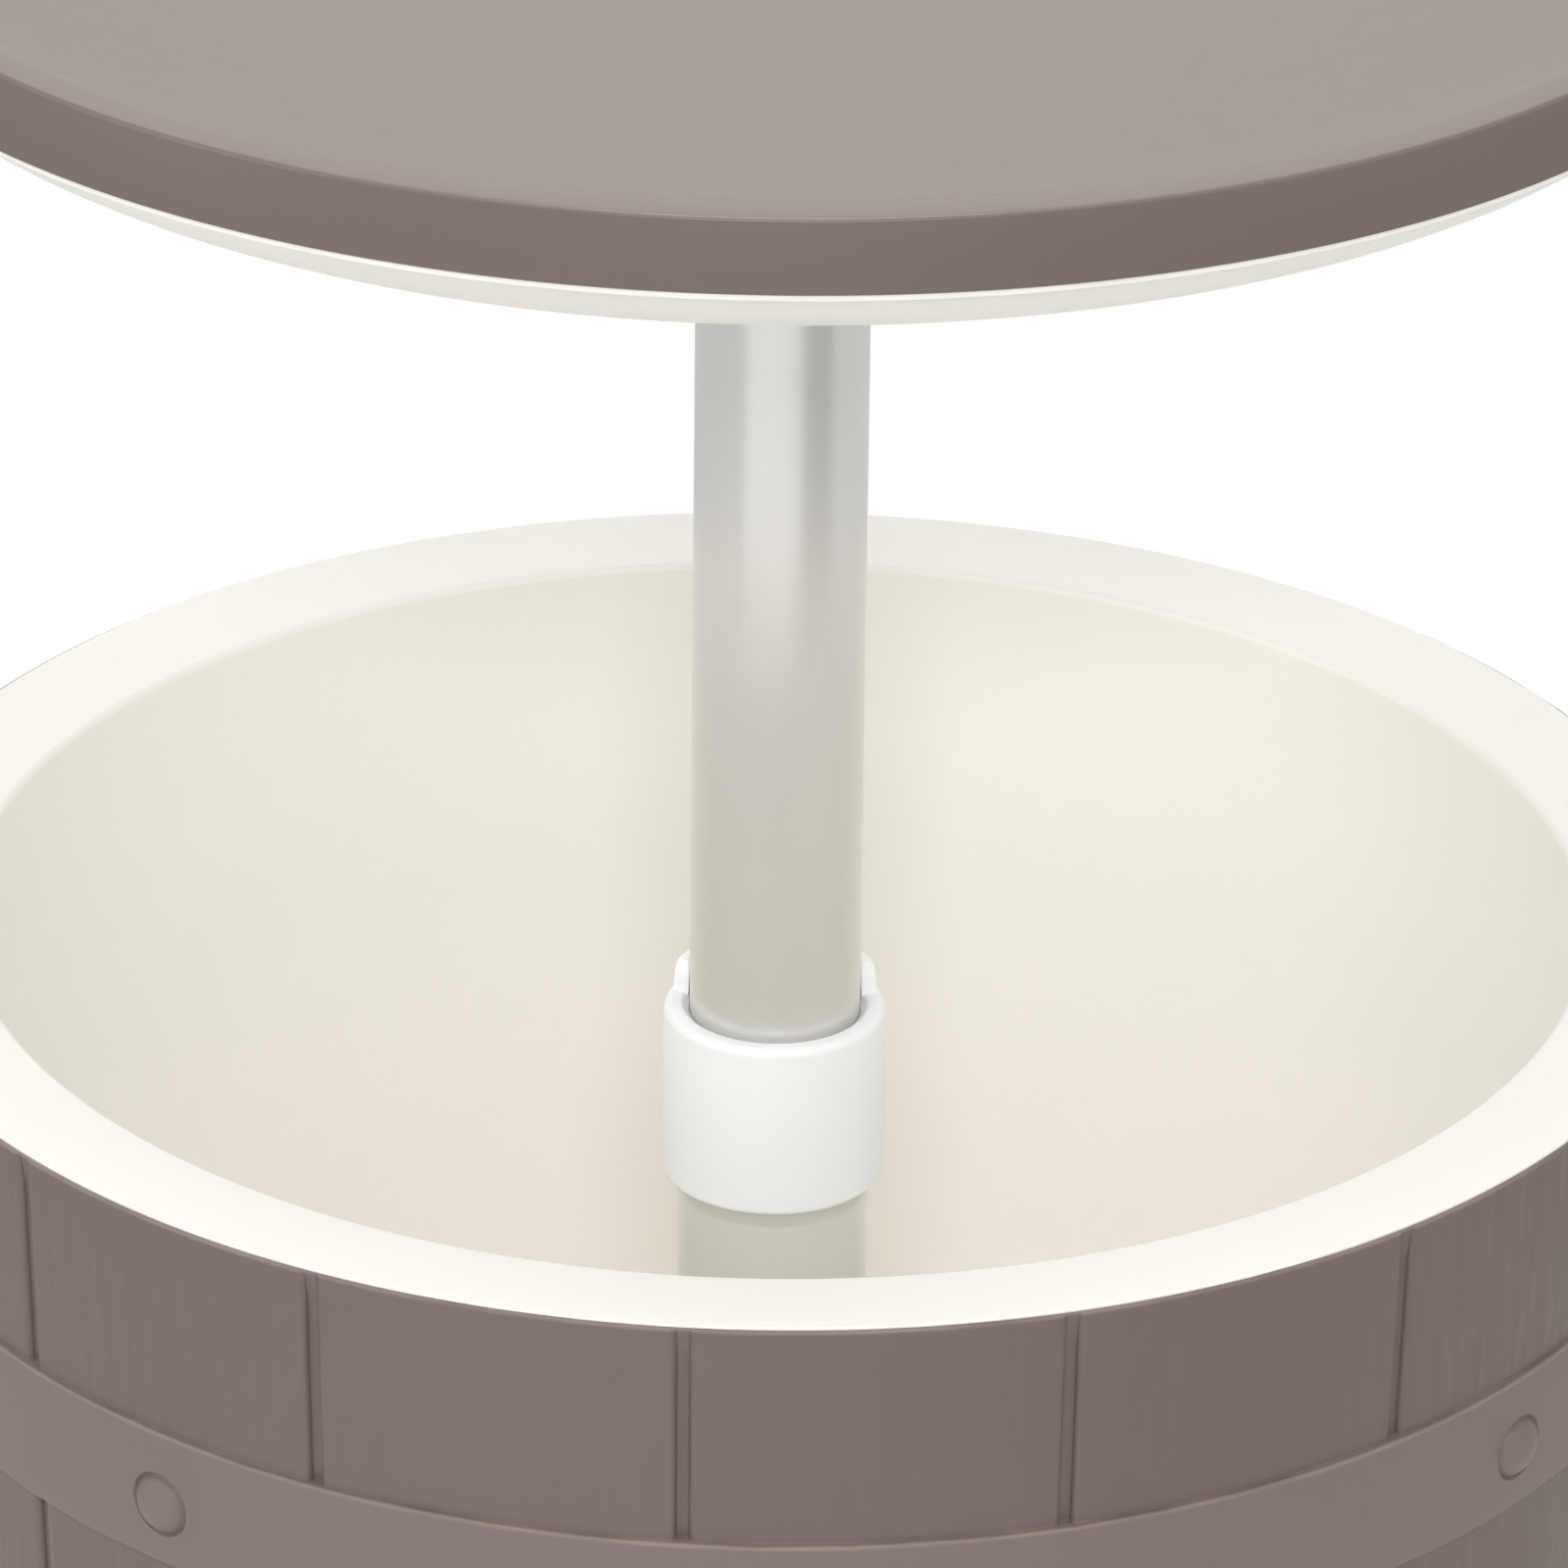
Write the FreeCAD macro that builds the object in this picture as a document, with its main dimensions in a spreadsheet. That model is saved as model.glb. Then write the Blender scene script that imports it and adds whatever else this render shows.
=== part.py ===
import FreeCAD, Part
import Sketcher
import math
import os

# Cooler table with a lift-up lid, millimetres, +Z up.
# The origin lies on the ground under the middle of the pole.

V = FreeCAD.Vector

# Driving dimensions: name, value, meaning.
SIZES = [
    ("shell_radius", 244.0, "outer radius of the shell at its top edge"),
    ("rim_height", 540.0, "top of the basin's rim above the ground"),
    ("rim_inset", 2.0, "edge of the basin's rim inside the shell's face"),
    ("rim_width", 31.5, "width of the basin's rim"),
    ("flange_thick", 3.0, "thickness of the basin's rim and walls"),
    ("mouth_round", 6.0, "rounding between rim and inner wall"),
    ("basin_depth", 250.0, "depth of the basin below its rim"),
    ("basin_bevel", 22.0, "bevel between wall and floor of the basin"),
    ("wall_draft", 2.0, "slope of shell and basin walls in degrees"),
    ("rim_lip_depth", 14.0, "height of the locating skirt under the rim"),
    ("rim_lip_thick", 2.5, "thickness of the locating skirt"),
    ("hook_count", 8, "snap hooks on the locating skirt"),
    ("hook_width", 16.0, "width of a snap hook"),
    ("hook_reach", 1.6, "overlap of a snap hook with the shell's bead"),
    ("hook_height", 4.0, "height of a snap hook"),
    ("boss_radius", 33.0, "outer radius of the boss round the pole"),
    ("boss_height", 20.0, "height of that boss above the basin's floor"),
    ("shell_wall", 4.0, "thickness of the shell"),
    ("shell_lift", 5.0, "height of the shell's lower edge above the ground"),
    ("shell_bevel", 1.2, "bevel on the shell's upper outer edge"),
    ("stave_count", 16, "staves round the barrel"),
    ("seam_width", 6.4, "width of the channel between two staves"),
    ("seam_floor", 3.0, "width of the channel's floor"),
    ("seam_depth", 1.8, "depth of the channel"),
    ("hoop_drop", 63.0, "upper edge of the upper hoop below the rim"),
    ("hoop_width", 38.0, "height of a hoop"),
    ("hoop_proud", 1.4, "how far a hoop stands proud of the staves"),
    ("hoop_low", 66.0, "lower edge of the lower hoop above the ground"),
    ("rivet_count", 8, "rivet heads round a hoop"),
    ("rivet_radius", 7.75, "radius of a rivet head"),
    ("rivet_proud", 2.0, "height of a rivet head"),
    ("ledge_width", 16.0, "width of the shell's inner bottom ledge"),
    ("ledge_thick", 4.0, "thickness of that ledge"),
    ("ledge_height", 15.0, "underside of the ledge above the ground"),
    ("base_screw_count", 8, "screws in the base plate"),
    ("base_screw_inset", 35.0, "base screws inside the shell's radius"),
    ("screw_radius", 2.5, "radius of a screw's shank"),
    ("screw_head", 4.6, "radius of a screw's head"),
    ("screw_head_height", 3.0, "height of a screw's head"),
    ("screw_grip", 14.0, "length of a screw in its post"),
    ("post_radius", 5.5, "outer radius of a screw post"),
    ("base_thick", 4.0, "thickness of the base plate"),
    ("base_rib_count", 8, "ribs on the base plate"),
    ("base_rib_thick", 3.0, "thickness of a base rib"),
    ("base_hub_height", 34.0, "height of the base plate's pole socket"),
    ("base_hub_wall", 5.0, "wall of the base plate's pole socket"),
    ("foot_count", 6, "rubber feet"),
    ("foot_radius", 17.0, "radius of a rubber foot"),
    ("foot_inset", 66.0, "feet inside the shell's radius"),
    ("foot_stem", 5.0, "radius of a foot's stem"),
    ("outer_tube_radius", 25.4, "outer radius of the lower pole tube"),
    ("outer_tube_wall", 1.2, "wall of the lower pole tube"),
    ("inner_tube_radius", 22.5, "outer radius of the sliding pole tube"),
    ("inner_tube_wall", 1.5, "wall of the sliding pole tube"),
    ("pole_spare", 2.0, "spring ring below the lower tube's end with the pole raised"),
    ("slide_gap", 0.3, "radial clearance of parts that slide or turn"),
    ("collar_drop", 34.0, "top of the collar below the rim"),
    ("collar_height", 49.0, "height of the collar"),
    ("collar_radius", 29.5, "outer radius of the collar"),
    ("collar_bevel", 2.2, "bevel of the collar's outer edges"),
    ("collar_bore", 27.1, "inner radius of the collar"),
    ("collar_cap", 5.0, "thickness of the collar's inturned top"),
    ("tab_rise", 8.5, "height of the thumb tab on the collar"),
    ("tab_radius", 27.8, "outer radius of that tab"),
    ("tab_reach", 78.0, "degrees that the tab reaches to either side of its middle"),
    ("tab_turn", 95.0, "degrees from the drain to the middle of the tab"),
    ("collet_top_gap", 1.0, "collet's end below the collar's inturned top"),
    ("collet_slots", 6, "slots that part the collet's fingers"),
    ("collet_slot_width", 2.4, "width of a collet slot"),
    ("collet_seat", 24.0, "length of the collet's sleeve over the tube"),
    ("collet_shoulder", 3.0, "thickness of the collet's stop on the tube"),
    ("lug_reach", 1.0, "how far a collet lug stands into the collar"),
    ("lug_height", 3.0, "height of a collet lug"),
    ("lug_width", 12.0, "width of a collet lug"),
    ("lug_count", 4, "lugs on the collet"),
    ("lid_rise", 271.5, "lower edge of the raised tabletop above the rim"),
    ("lid_overhang", 5.0, "tabletop's lower edge outside the shell's radius"),
    ("lid_taper", 2.9, "radius lost from the tabletop's lower edge to its upper corner"),
    ("lid_skirt", 17.9, "height of the tabletop's skirt"),
    ("lid_wall", 3.0, "thickness of the tabletop's mouldings"),
    ("lid_corner", 1.5, "bevel of the tabletop's upper corner"),
    ("lid_rim_width", 10.0, "width of the raised rim on the tabletop"),
    ("lid_recess", 1.8, "depth of the tabletop's field below its rim"),
    ("lip_inset", 1.2, "underside moulding's lip inside the skirt's edge"),
    ("lip_thick", 2.0, "visible height of that lip"),
    ("dish_start", 3.5, "start of the dish inside the skirt's edge"),
    ("dish_shoulder_inset", 27.0, "end of the dish's curve inside the skirt's edge"),
    ("dish_curve", 73.0, "radius of the dish's curved wall"),
    ("dish_seat_drop", 18.7, "seat that lands on the rim, below the skirt's edge"),
    ("dish_seat_width", 8.0, "width of that seat"),
    ("dish_floor_inset", 53.0, "edge of the dish's flat floor inside the skirt's edge"),
    ("dish_floor_drop", 28.6, "dish's floor below the skirt's edge"),
    ("socket_flange_radius", 62.0, "radius of the pole cup's flange"),
    ("socket_flange_thick", 5.0, "thickness of that flange"),
    ("socket_wall", 4.5, "wall of the pole cup"),
    ("socket_height", 32.0, "height of the pole cup above the dish's floor"),
    ("socket_cap", 3.0, "thickness of the pole cup's closed end"),
    ("socket_screw_count", 6, "screws in the pole cup's flange"),
    ("socket_screw_circle", 48.0, "radius of their circle"),
    ("pin_radius", 3.0, "radius of the cross pin"),
    ("lid_screw_count", 8, "screws that join the tabletop's mouldings"),
    ("lid_screw_inset", 77.0, "those screws inside the skirt's edge"),
    ("top_rib_count", 16, "radial ribs under the tabletop"),
    ("top_rib_thick", 2.4, "thickness of such a rib"),
    ("top_rib_depth", 9.0, "depth of such a rib"),
    ("top_rib_inner", 80.0, "inner radius of the ribbed ring"),
    ("top_rib_inset", 23.0, "outer edge of the ribbed ring inside the skirt's edge"),
    ("bush_height", 88.0, "length of the guide bush on the sliding tube"),
    ("plug_depth", 24.0, "depth of the end plug in the pole"),
    ("plug_flange", 4.0, "thickness of the end plug's flange"),
    ("ring_wire", 1.4, "thickness of the spring ring"),
    ("seal_thick", 2.5, "thickness of the pole seal"),
    ("seal_skirt", 8.0, "height of the pole seal's skirt"),
    ("drain_inset", 90.5, "drain inside the basin's mouth"),
    ("drain_bore", 10.5, "inner radius of the drain spout"),
    ("drain_spout", 14.0, "outer radius of the drain spout"),
    ("drain_flange", 22.0, "radius of the drain's flange"),
    ("drain_flange_thick", 2.5, "thickness of the drain's flange"),
    ("drain_spout_length", 34.0, "length of the spout below the floor"),
    ("drain_washer_thick", 1.5, "thickness of the drain washer"),
    ("drain_nut_height", 8.0, "height of the drain nut"),
    ("drain_nut_radius", 21.0, "outer radius of the drain nut"),
    ("drain_pipe_wall", 2.0, "wall of the drain pipe"),
    ("drain_pipe_overlap", 16.0, "length of pipe pushed over the spout"),
    ("drain_plug_depth", 14.0, "depth of the stopper in the spout"),
    ("drain_knob_radius", 15.0, "radius of the stopper's knob"),
    ("drain_knob_height", 12.0, "height of the stopper's knob"),
    ("foot_plug_height", 26.0, "height of the plug in the lower tube's end"),
    ("bolt_radius", 4.0, "radius of the foot bolt's shank"),
    ("bolt_head_width", 13.0, "width of the foot bolt's head across flats"),
    ("bolt_head_height", 3.0, "height of the foot bolt's head"),
    ("washer_radius", 11.0, "radius of the foot washer"),
    ("washer_thick", 1.6, "thickness of the foot washer"),
    ("fit_gap", 0.3, "clearance between fixed pieces"),
    ("thread_gap", 0.05, "clearance of threads and pressed fits"),
    ("seam_overcut", 1.0, "how far the channel's cut starts outside the shell"),
    ("hoop_bevel", 0.6, "bevel on a hoop's edges"),
    ("post_end", 2.0, "material at the closed end of a screw post"),
    ("rim_edge_bevel", 0.8, "bevel of the rim's outer edge"),
    ("drain_nut_flange", 2.5, "thickness and overhang of the drain nut's flange"),
    ("drain_plug_rim", 2.0, "thickness of the stopper's rim"),
    ("drain_knob_neck", 4.5, "radius of the stopper's neck"),
    ("base_rib_inset", 48.0, "outer end of the base ribs inside the shell's radius"),
    ("base_ring_inset", 96.0, "base plate's ring rib inside the shell's radius"),
    ("foot_bevel", 1.5, "bevel and barb of the rubber feet"),
    ("foot_plug_wall", 4.0, "wall of the plug in the lower tube's end"),
    ("collar_lip", 6.0, "height of the collar's inturned bottom"),
    ("collet_cone", 1.5, "taper of the collet's fingers"),
    ("collet_cone_height", 7.0, "height of that taper"),
    ("collar_mouth_gap", 0.35, "gap between the collar's mouth and the tube"),
    ("ring_groove", 0.6, "depth of the spring ring's groove"),
    ("pin_rise", 18.0, "cross pin above the dish's floor"),
    ("lip_upstand", 8.0, "height of the dish's upstand inside the skirt"),
]

# Sizes worked out from the driving ones: name, formula, meaning.
DERIVED = [
    ("rim_radius", "shell_radius - rim_inset", "outer radius of the basin's rim"),
    ("mouth_radius", "rim_radius - rim_width", "inner radius of the basin at its mouth"),
    ("lid_radius", "shell_radius + lid_overhang", "radius of the tabletop at its lower edge"),
    ("lid_top_radius", "lid_radius - lid_taper", "radius of the tabletop at its upper corner"),
    ("dish_shoulder_radius", "lid_radius - dish_shoulder_inset", "radius where the dish meets its seat"),
    ("dish_floor_radius", "lid_radius - dish_floor_inset", "radius of the dish's flat floor"),
    ("lid_screw_circle", "lid_radius - lid_screw_inset", "radius of the circle of lid screws"),
    ("top_rib_outer", "lid_radius - top_rib_inset", "outer radius of the ribbed ring"),
    ("drain_circle", "mouth_radius - drain_inset", "distance of the drain from the pole"),
    ("base_screw_circle", "shell_radius - base_screw_inset", "radius of the circle of base screws"),
    ("base_rib_reach", "shell_radius - base_rib_inset", "outer end of the base ribs"),
    ("base_ring", "shell_radius - base_ring_inset", "radius of the base plate's ring rib"),
    ("foot_circle", "shell_radius - foot_inset", "radius of the circle of feet"),
    ("flange_under", "rim_height - flange_thick", "underside of the rim"),
    ("wall_slope", "tan(wall_draft * 1 deg)", "radius lost per millimetre down"),
    ("mouth_run", "mouth_round / tan(45 deg + wall_draft * 0.5 deg)", "length taken by the mouth's rounding"),
    ("bevel_run", "basin_bevel * wall_slope", "radius lost over the height of the floor's bevel"),
    ("basin_floor", "rim_height - basin_depth", "top of the basin's floor"),
    ("floor_under", "basin_floor - flange_thick", "underside of that floor"),
    ("basin_foot_radius", "mouth_radius - basin_depth * wall_slope", "inner radius at the floor"),
    ("shell_foot_radius", "shell_radius - (flange_under - shell_lift) * wall_slope", "shell at its foot"),
    ("bead_height", "flange_under - rim_lip_depth + hook_height + fit_gap", "underside of the snap bead"),
    ("hoop_top", "rim_height - hoop_drop", "upper edge of the upper hoop"),
    ("base_top", "ledge_height", "upper face of the base plate"),
    ("base_under", "base_top - base_thick", "lower face of the base plate"),
    ("tube_top", "rim_height - collar_drop - collar_height + collet_seat", "end of the lower tube"),
    ("collar_top", "rim_height - collar_drop", "top of the collar"),
    ("collar_low", "collar_top - collar_height", "bottom of the collar"),
    ("tube_bore", "outer_tube_radius - outer_tube_wall", "bore of the lower tube"),
    ("pole_bore", "inner_tube_radius - inner_tube_wall", "bore of the sliding tube"),
    ("pole_overlap", "bush_height + 2 * slide_gap + ring_wire + pole_spare", "sliding tube in the lower one"),
    ("pole_low", "tube_top - pole_overlap", "lower end of the sliding tube"),
    ("lid_edge", "rim_height + lid_rise", "lower edge of the tabletop"),
    ("lid_top", "lid_edge + lid_skirt", "upper face of the tabletop"),
    ("dish_floor", "lid_edge - dish_floor_drop", "underside of the tabletop's dish"),
    ("dish_seat", "lid_edge - dish_seat_drop", "seat that lands on the rim"),
    ("dish_inside", "dish_floor + lid_wall", "upper side of the dish's floor"),
    ("field_top", "lid_top - lid_recess", "tabletop's field"),
    ("field_under", "field_top - lid_wall", "underside of that field"),
    ("skirt_slope", "lid_taper / lid_skirt", "radius lost per millimetre up"),
    ("socket_top", "dish_inside + socket_height", "top of the pole cup"),
    ("pole_top", "socket_top - socket_cap", "upper end of the sliding tube"),
    ("pin_height", "dish_inside + pin_rise", "axis of the cross pin"),
    ("bead_radius", "shell_radius - shell_wall - hook_reach", "inner radius of the shell's bead"),
    ("lip_radius", "bead_radius - fit_gap", "outer radius of the locating skirt"),
    ("drain_seat", "basin_floor - drain_washer_thick - drain_flange_thick", "floor of the drain's seat"),
    ("drain_under", "drain_seat - flange_thick", "underside of the basin at the drain"),
    ("plate_radius", "shell_foot_radius - shell_wall - fit_gap", "outer radius of the base plate"),
]


def make_sheet(doc):
    """Spreadsheet that every feature's expression reads."""
    sheet = doc.addObject("Spreadsheet::Sheet", "Sizes")
    for row, (alias, value, meaning) in enumerate(SIZES + DERIVED, start=1):
        content = "=" + value if isinstance(value, str) else str(value)
        sheet.set("A%d" % row, alias)
        sheet.set("B%d" % row, content)
        sheet.set("C%d" % row, meaning)
        sheet.setAlias("B%d" % row, alias)
    doc.recompute()
    return sheet


doc = FreeCAD.newDocument("CoolerTable")
sheet = make_sheet(doc)
names = sorted((row[0] for row in SIZES + DERIVED), key=len, reverse=True)
pieces = []


def bound(formula):
    """The formula as an expression: each size's name points at its cell."""
    words = []
    word = ""
    for letter in formula + " ":
        if letter.isalnum() or letter == "_":
            word += letter
            continue
        words.append("Sizes." + word if word in names else word)
        words.append(letter)
        word = ""
    return "".join(words).strip()


def size(formula):
    """Present value of a formula in the sheet's names."""
    value = sheet.evalExpression(bound(formula))
    return float(getattr(value, "Value", value))


def new_body(name):
    """Body whose label is the piece's name."""
    body = doc.addObject("PartDesign::Body", name)
    body.Label = name
    pieces.append(body)
    return body


def origin_feature(body, role):
    """One of the body's own base planes or axes."""
    return next(item for item in body.Origin.OriginFeatures if item.Role == role)


def new_sketch(body, name, plane="XZ_Plane", lift=None, turn=None):
    """Sketch on one of the body's base planes, moved off it or turned about the pole by a formula."""
    sketch = body.newObject("Sketcher::SketchObject", name)
    sketch.AttachmentSupport = [(origin_feature(body, plane), "")]
    sketch.MapMode = "FlatFace"
    if lift is not None:
        sketch.setExpression("AttachmentOffset.Base.z", bound(lift))
    if turn is not None:
        sketch.AttachmentOffset = FreeCAD.Placement(V(), FreeCAD.Rotation(V(0, 1, 0), size(turn)))
        sketch.setExpression("AttachmentOffset.Rotation.Angle", bound(turn))
    return sketch


def pin_point(sketch, geometry, point, formula_x, formula_y):
    """Tie one point of a sketch to its distances from the origin."""
    for kind, axis, formula in (("DistanceX", -2, formula_x), ("DistanceY", -1, formula_y)):
        if formula == "0":
            sketch.addConstraint(Sketcher.Constraint("PointOnObject", geometry, point, axis))
            continue
        sketch.addConstraint(Sketcher.Constraint(kind, -1, 1, geometry, point, size(formula)))
        sketch.setExpression("Constraints[%d]" % (sketch.ConstraintCount - 1), bound(formula))


def arc_between(start, end, radius):
    """Arc from start to end; a positive radius has its centre on the left."""
    chord = end.sub(start)
    half = chord.Length / 2
    sag = math.sqrt(max(radius * radius - half * half, 0.0))
    left = V(-chord.y, chord.x, 0).normalize()
    side = 1 if radius > 0 else -1
    centre = start.add(end).multiply(0.5).add(left.multiply(side * sag))
    angles = [math.atan2(p.y - centre.y, p.x - centre.x) for p in (start, end)]
    first, last = angles if radius > 0 else reversed(angles)
    return Part.ArcOfCircle(Part.Circle(centre, V(0, 0, 1), abs(radius)), first, last)


def outline(sketch, corners):
    """Closed outline. A corner is x and y, or x, y and the radius of the arc that leaves it."""
    spots = [V(size(corner[0]), size(corner[1]), 0) for corner in corners]
    first = sketch.GeometryCount
    ends = []
    for index, corner in enumerate(corners):
        start = spots[index]
        end = spots[(index + 1) % len(spots)]
        if len(corner) == 2:
            sketch.addGeometry(Part.LineSegment(start, end), False)
            ends.append((1, 2))
            continue
        radius = size(corner[2])
        sketch.addGeometry(arc_between(start, end, radius), False)
        ends.append((1, 2) if radius > 0 else (2, 1))
    for index, corner in enumerate(corners):
        following = (index + 1) % len(corners)
        sketch.addConstraint(Sketcher.Constraint(
            "Coincident", first + index, ends[index][1], first + following, ends[following][0]))
    for index, corner in enumerate(corners):
        pin_point(sketch, first + index, ends[index][0], corner[0], corner[1])
        if len(corner) == 3:
            radius = abs(size(corner[2]))
            formula = corner[2] if size(corner[2]) > 0 else "-(" + corner[2] + ")"
            sketch.addConstraint(Sketcher.Constraint("Radius", first + index, radius))
            sketch.setExpression("Constraints[%d]" % (sketch.ConstraintCount - 1), bound(formula))


def axis_line(sketch, x_formula):
    """Upright construction line that a revolution off the pole turns about."""
    x = size(x_formula)
    index = sketch.GeometryCount
    sketch.addGeometry(Part.LineSegment(V(x, 0, 0), V(x, 10, 0)), True)
    pin_point(sketch, index, 1, x_formula, "0")
    sketch.addConstraint(Sketcher.Constraint("Vertical", index))
    sketch.addConstraint(Sketcher.Constraint("DistanceY", index, 1, index, 2, 10.0))


def disc(sketch, x_formula, y_formula, radius_formula):
    """Circle at a place in the sketch."""
    index = sketch.GeometryCount
    centre = V(size(x_formula), size(y_formula), 0)
    sketch.addGeometry(Part.Circle(centre, V(0, 0, 1), size(radius_formula)), False)
    sketch.addConstraint(Sketcher.Constraint("Radius", index, size(radius_formula)))
    sketch.setExpression("Constraints[%d]" % (sketch.ConstraintCount - 1), bound(radius_formula))
    pin_point(sketch, index, 3, x_formula, y_formula)


def turned(body, name, corners, axis=None):
    """Outline in the radius and height plane, turned about the pole or about an upright at x = axis."""
    sketch = new_sketch(body, name + "_outline")
    outline(sketch, corners)
    feature = body.newObject("PartDesign::Revolution", name)
    feature.Profile = sketch
    feature.ReferenceAxis = (sketch, ["V_Axis"])
    if axis is not None:
        axis_line(sketch, axis)
        feature.ReferenceAxis = (sketch, ["Axis0"])
    feature.Angle = 360
    doc.recompute()
    return feature


def swept(body, name, sketch, angle):
    """Part of a ring: a sketch turned about the pole, half of the angle to either side."""
    feature = body.newObject("PartDesign::Revolution", name)
    feature.Profile = sketch
    feature.ReferenceAxis = (sketch, ["V_Axis"])
    feature.Midplane = True
    feature.setExpression("Angle", bound(angle))
    doc.recompute()
    return feature


def extruded(body, name, sketch, length, kind="PartDesign::Pad", both_ways=False, flip=False):
    """Pad or pocket of a sketch."""
    feature = body.newObject(kind, name)
    feature.Profile = sketch
    feature.Type = 0
    feature.SideType = "Symmetric" if both_ways else "One side"
    feature.Reversed = flip
    feature.setExpression("Length", bound(length))
    doc.recompute()
    return feature


def around(body, name, feature, count):
    """Copies of a feature evenly round the pole."""
    pattern = body.newObject("PartDesign::PolarPattern", name)
    pattern.Originals = [feature]
    pattern.Axis = (origin_feature(body, "Z_Axis"), [""])
    pattern.Angle = 360
    pattern.setExpression("Occurrences", bound(count))
    body.Tip = pattern
    doc.recompute()


def shell_face(height):
    """Outer radius of the shell's staves at a height."""
    return "(shell_radius - (flange_under - (%s)) * wall_slope)" % height


def outer_shell():
    """Barrel moulding: staves parted by channels, two hoops and rivet heads."""
    body = new_body("outer_shell")
    turned(body, "stave_wall", [
        ("shell_foot_radius - shell_wall", "shell_lift"),
        ("shell_foot_radius", "shell_lift"),
        (shell_face("flange_under - shell_bevel"), "flange_under - shell_bevel"),
        ("shell_radius - shell_bevel", "flange_under"),
        ("shell_radius - shell_wall", "flange_under"),
    ])
    sections = []
    for name, height in (("seam_low", "shell_lift"), ("seam_high", "flange_under")):
        face = shell_face(height)
        half_mouth = "(seam_width / 2 + seam_overcut * (seam_width - seam_floor) / (2 * seam_depth))"
        sketch = new_sketch(body, name, "XY_Plane", lift=height)
        outline(sketch, [
            (face + " - seam_depth", "-seam_floor / 2"),
            (face + " + seam_overcut", "-" + half_mouth),
            (face + " + seam_overcut", half_mouth),
            (face + " - seam_depth", "seam_floor / 2"),
        ])
        sections.append(sketch)
    seam = body.newObject("PartDesign::SubtractiveLoft", "stave_seam")
    seam.Profile = sections[0]
    seam.Sections = [sections[1]]
    seam.Ruled = True
    doc.recompute()
    around(body, "stave_seams", seam, "stave_count")
    for name, low in (("upper_hoop", "hoop_top - hoop_width"), ("lower_hoop", "hoop_low")):
        high = "(%s + hoop_width)" % low
        turned(body, name, [
            (shell_face(low) + " - shell_wall / 2", low),
            (shell_face(low) + " + hoop_proud - hoop_bevel", low),
            (shell_face(low) + " + hoop_proud", low + " + hoop_bevel"),
            (shell_face(high) + " + hoop_proud", high + " - hoop_bevel"),
            (shell_face(high) + " + hoop_proud - hoop_bevel", high),
            (shell_face(high) + " - shell_wall / 2", high),
        ])
        rivets(body, name + "_rivet", low + " + hoop_width / 2")
    turned(body, "bottom_ledge", [
        ("shell_foot_radius - shell_wall - ledge_width", "ledge_height"),
        ("shell_foot_radius - shell_wall / 2", "ledge_height"),
        ("shell_foot_radius - shell_wall / 2", "ledge_height + ledge_thick"),
        ("shell_foot_radius - shell_wall - ledge_width", "ledge_height + ledge_thick"),
    ])
    turned(body, "snap_bead", [
        ("bead_radius", "bead_height"),
        ("shell_radius - shell_wall / 2", "bead_height"),
        ("shell_radius - shell_wall / 2", "bead_height + hook_height + hook_reach"),
        ("shell_radius - shell_wall", "bead_height + hook_height"),
        ("bead_radius", "bead_height + hook_height - hook_reach"),
    ])
    posts(body, "screw_post", "base_screw_circle", "ledge_height", "ledge_thick + screw_grip",
          "base_screw_count")


def rivets(body, name, height):
    """Domed rivet heads in the middle of every second stave of a hoop."""
    face = "(" + shell_face(height) + " + hoop_proud)"
    dome = "((rivet_radius ^ 2 + rivet_proud ^ 2) / (2 * rivet_proud))"
    sketch = new_sketch(body, name + "_outline", turn="180 deg / stave_count")
    outline(sketch, [
        (face + " - hoop_proud", height),
        (face + " + rivet_proud", height, "-" + dome),
        (face, height + " - rivet_radius"),
        (face + " - hoop_proud", height + " - rivet_radius"),
    ])
    index = sketch.GeometryCount
    start = V(size(face), size(height), 0)
    sketch.addGeometry(Part.LineSegment(start, start.add(V(10, 0, 0))), True)
    pin_point(sketch, index, 1, face, height)
    sketch.addConstraint(Sketcher.Constraint("Horizontal", index))
    sketch.addConstraint(Sketcher.Constraint("DistanceX", index, 1, index, 2, 10.0))
    dome_feature = body.newObject("PartDesign::Revolution", name)
    dome_feature.Profile = sketch
    dome_feature.ReferenceAxis = (sketch, ["Axis0"])
    dome_feature.Angle = 360
    doc.recompute()
    around(body, name + "s", dome_feature, "rivet_count")


def posts(body, name, circle, height, length, count, downwards=False):
    """Screw posts round the pole, each with a blind hole from its open end."""
    sketch = new_sketch(body, name + "_round", "XY_Plane", lift=height)
    disc(sketch, circle, "0", "post_radius")
    post = extruded(body, name, sketch, length)
    around(body, name + "s", post, count)
    sketch = new_sketch(body, name + "_hole_round", "XY_Plane", lift=height)
    disc(sketch, circle, "0", "screw_radius + thread_gap")
    hole = extruded(body, name + "_hole", sketch, length + " - post_end", "PartDesign::Pocket", flip=True)
    around(body, name + "_holes", hole, count)


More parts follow.
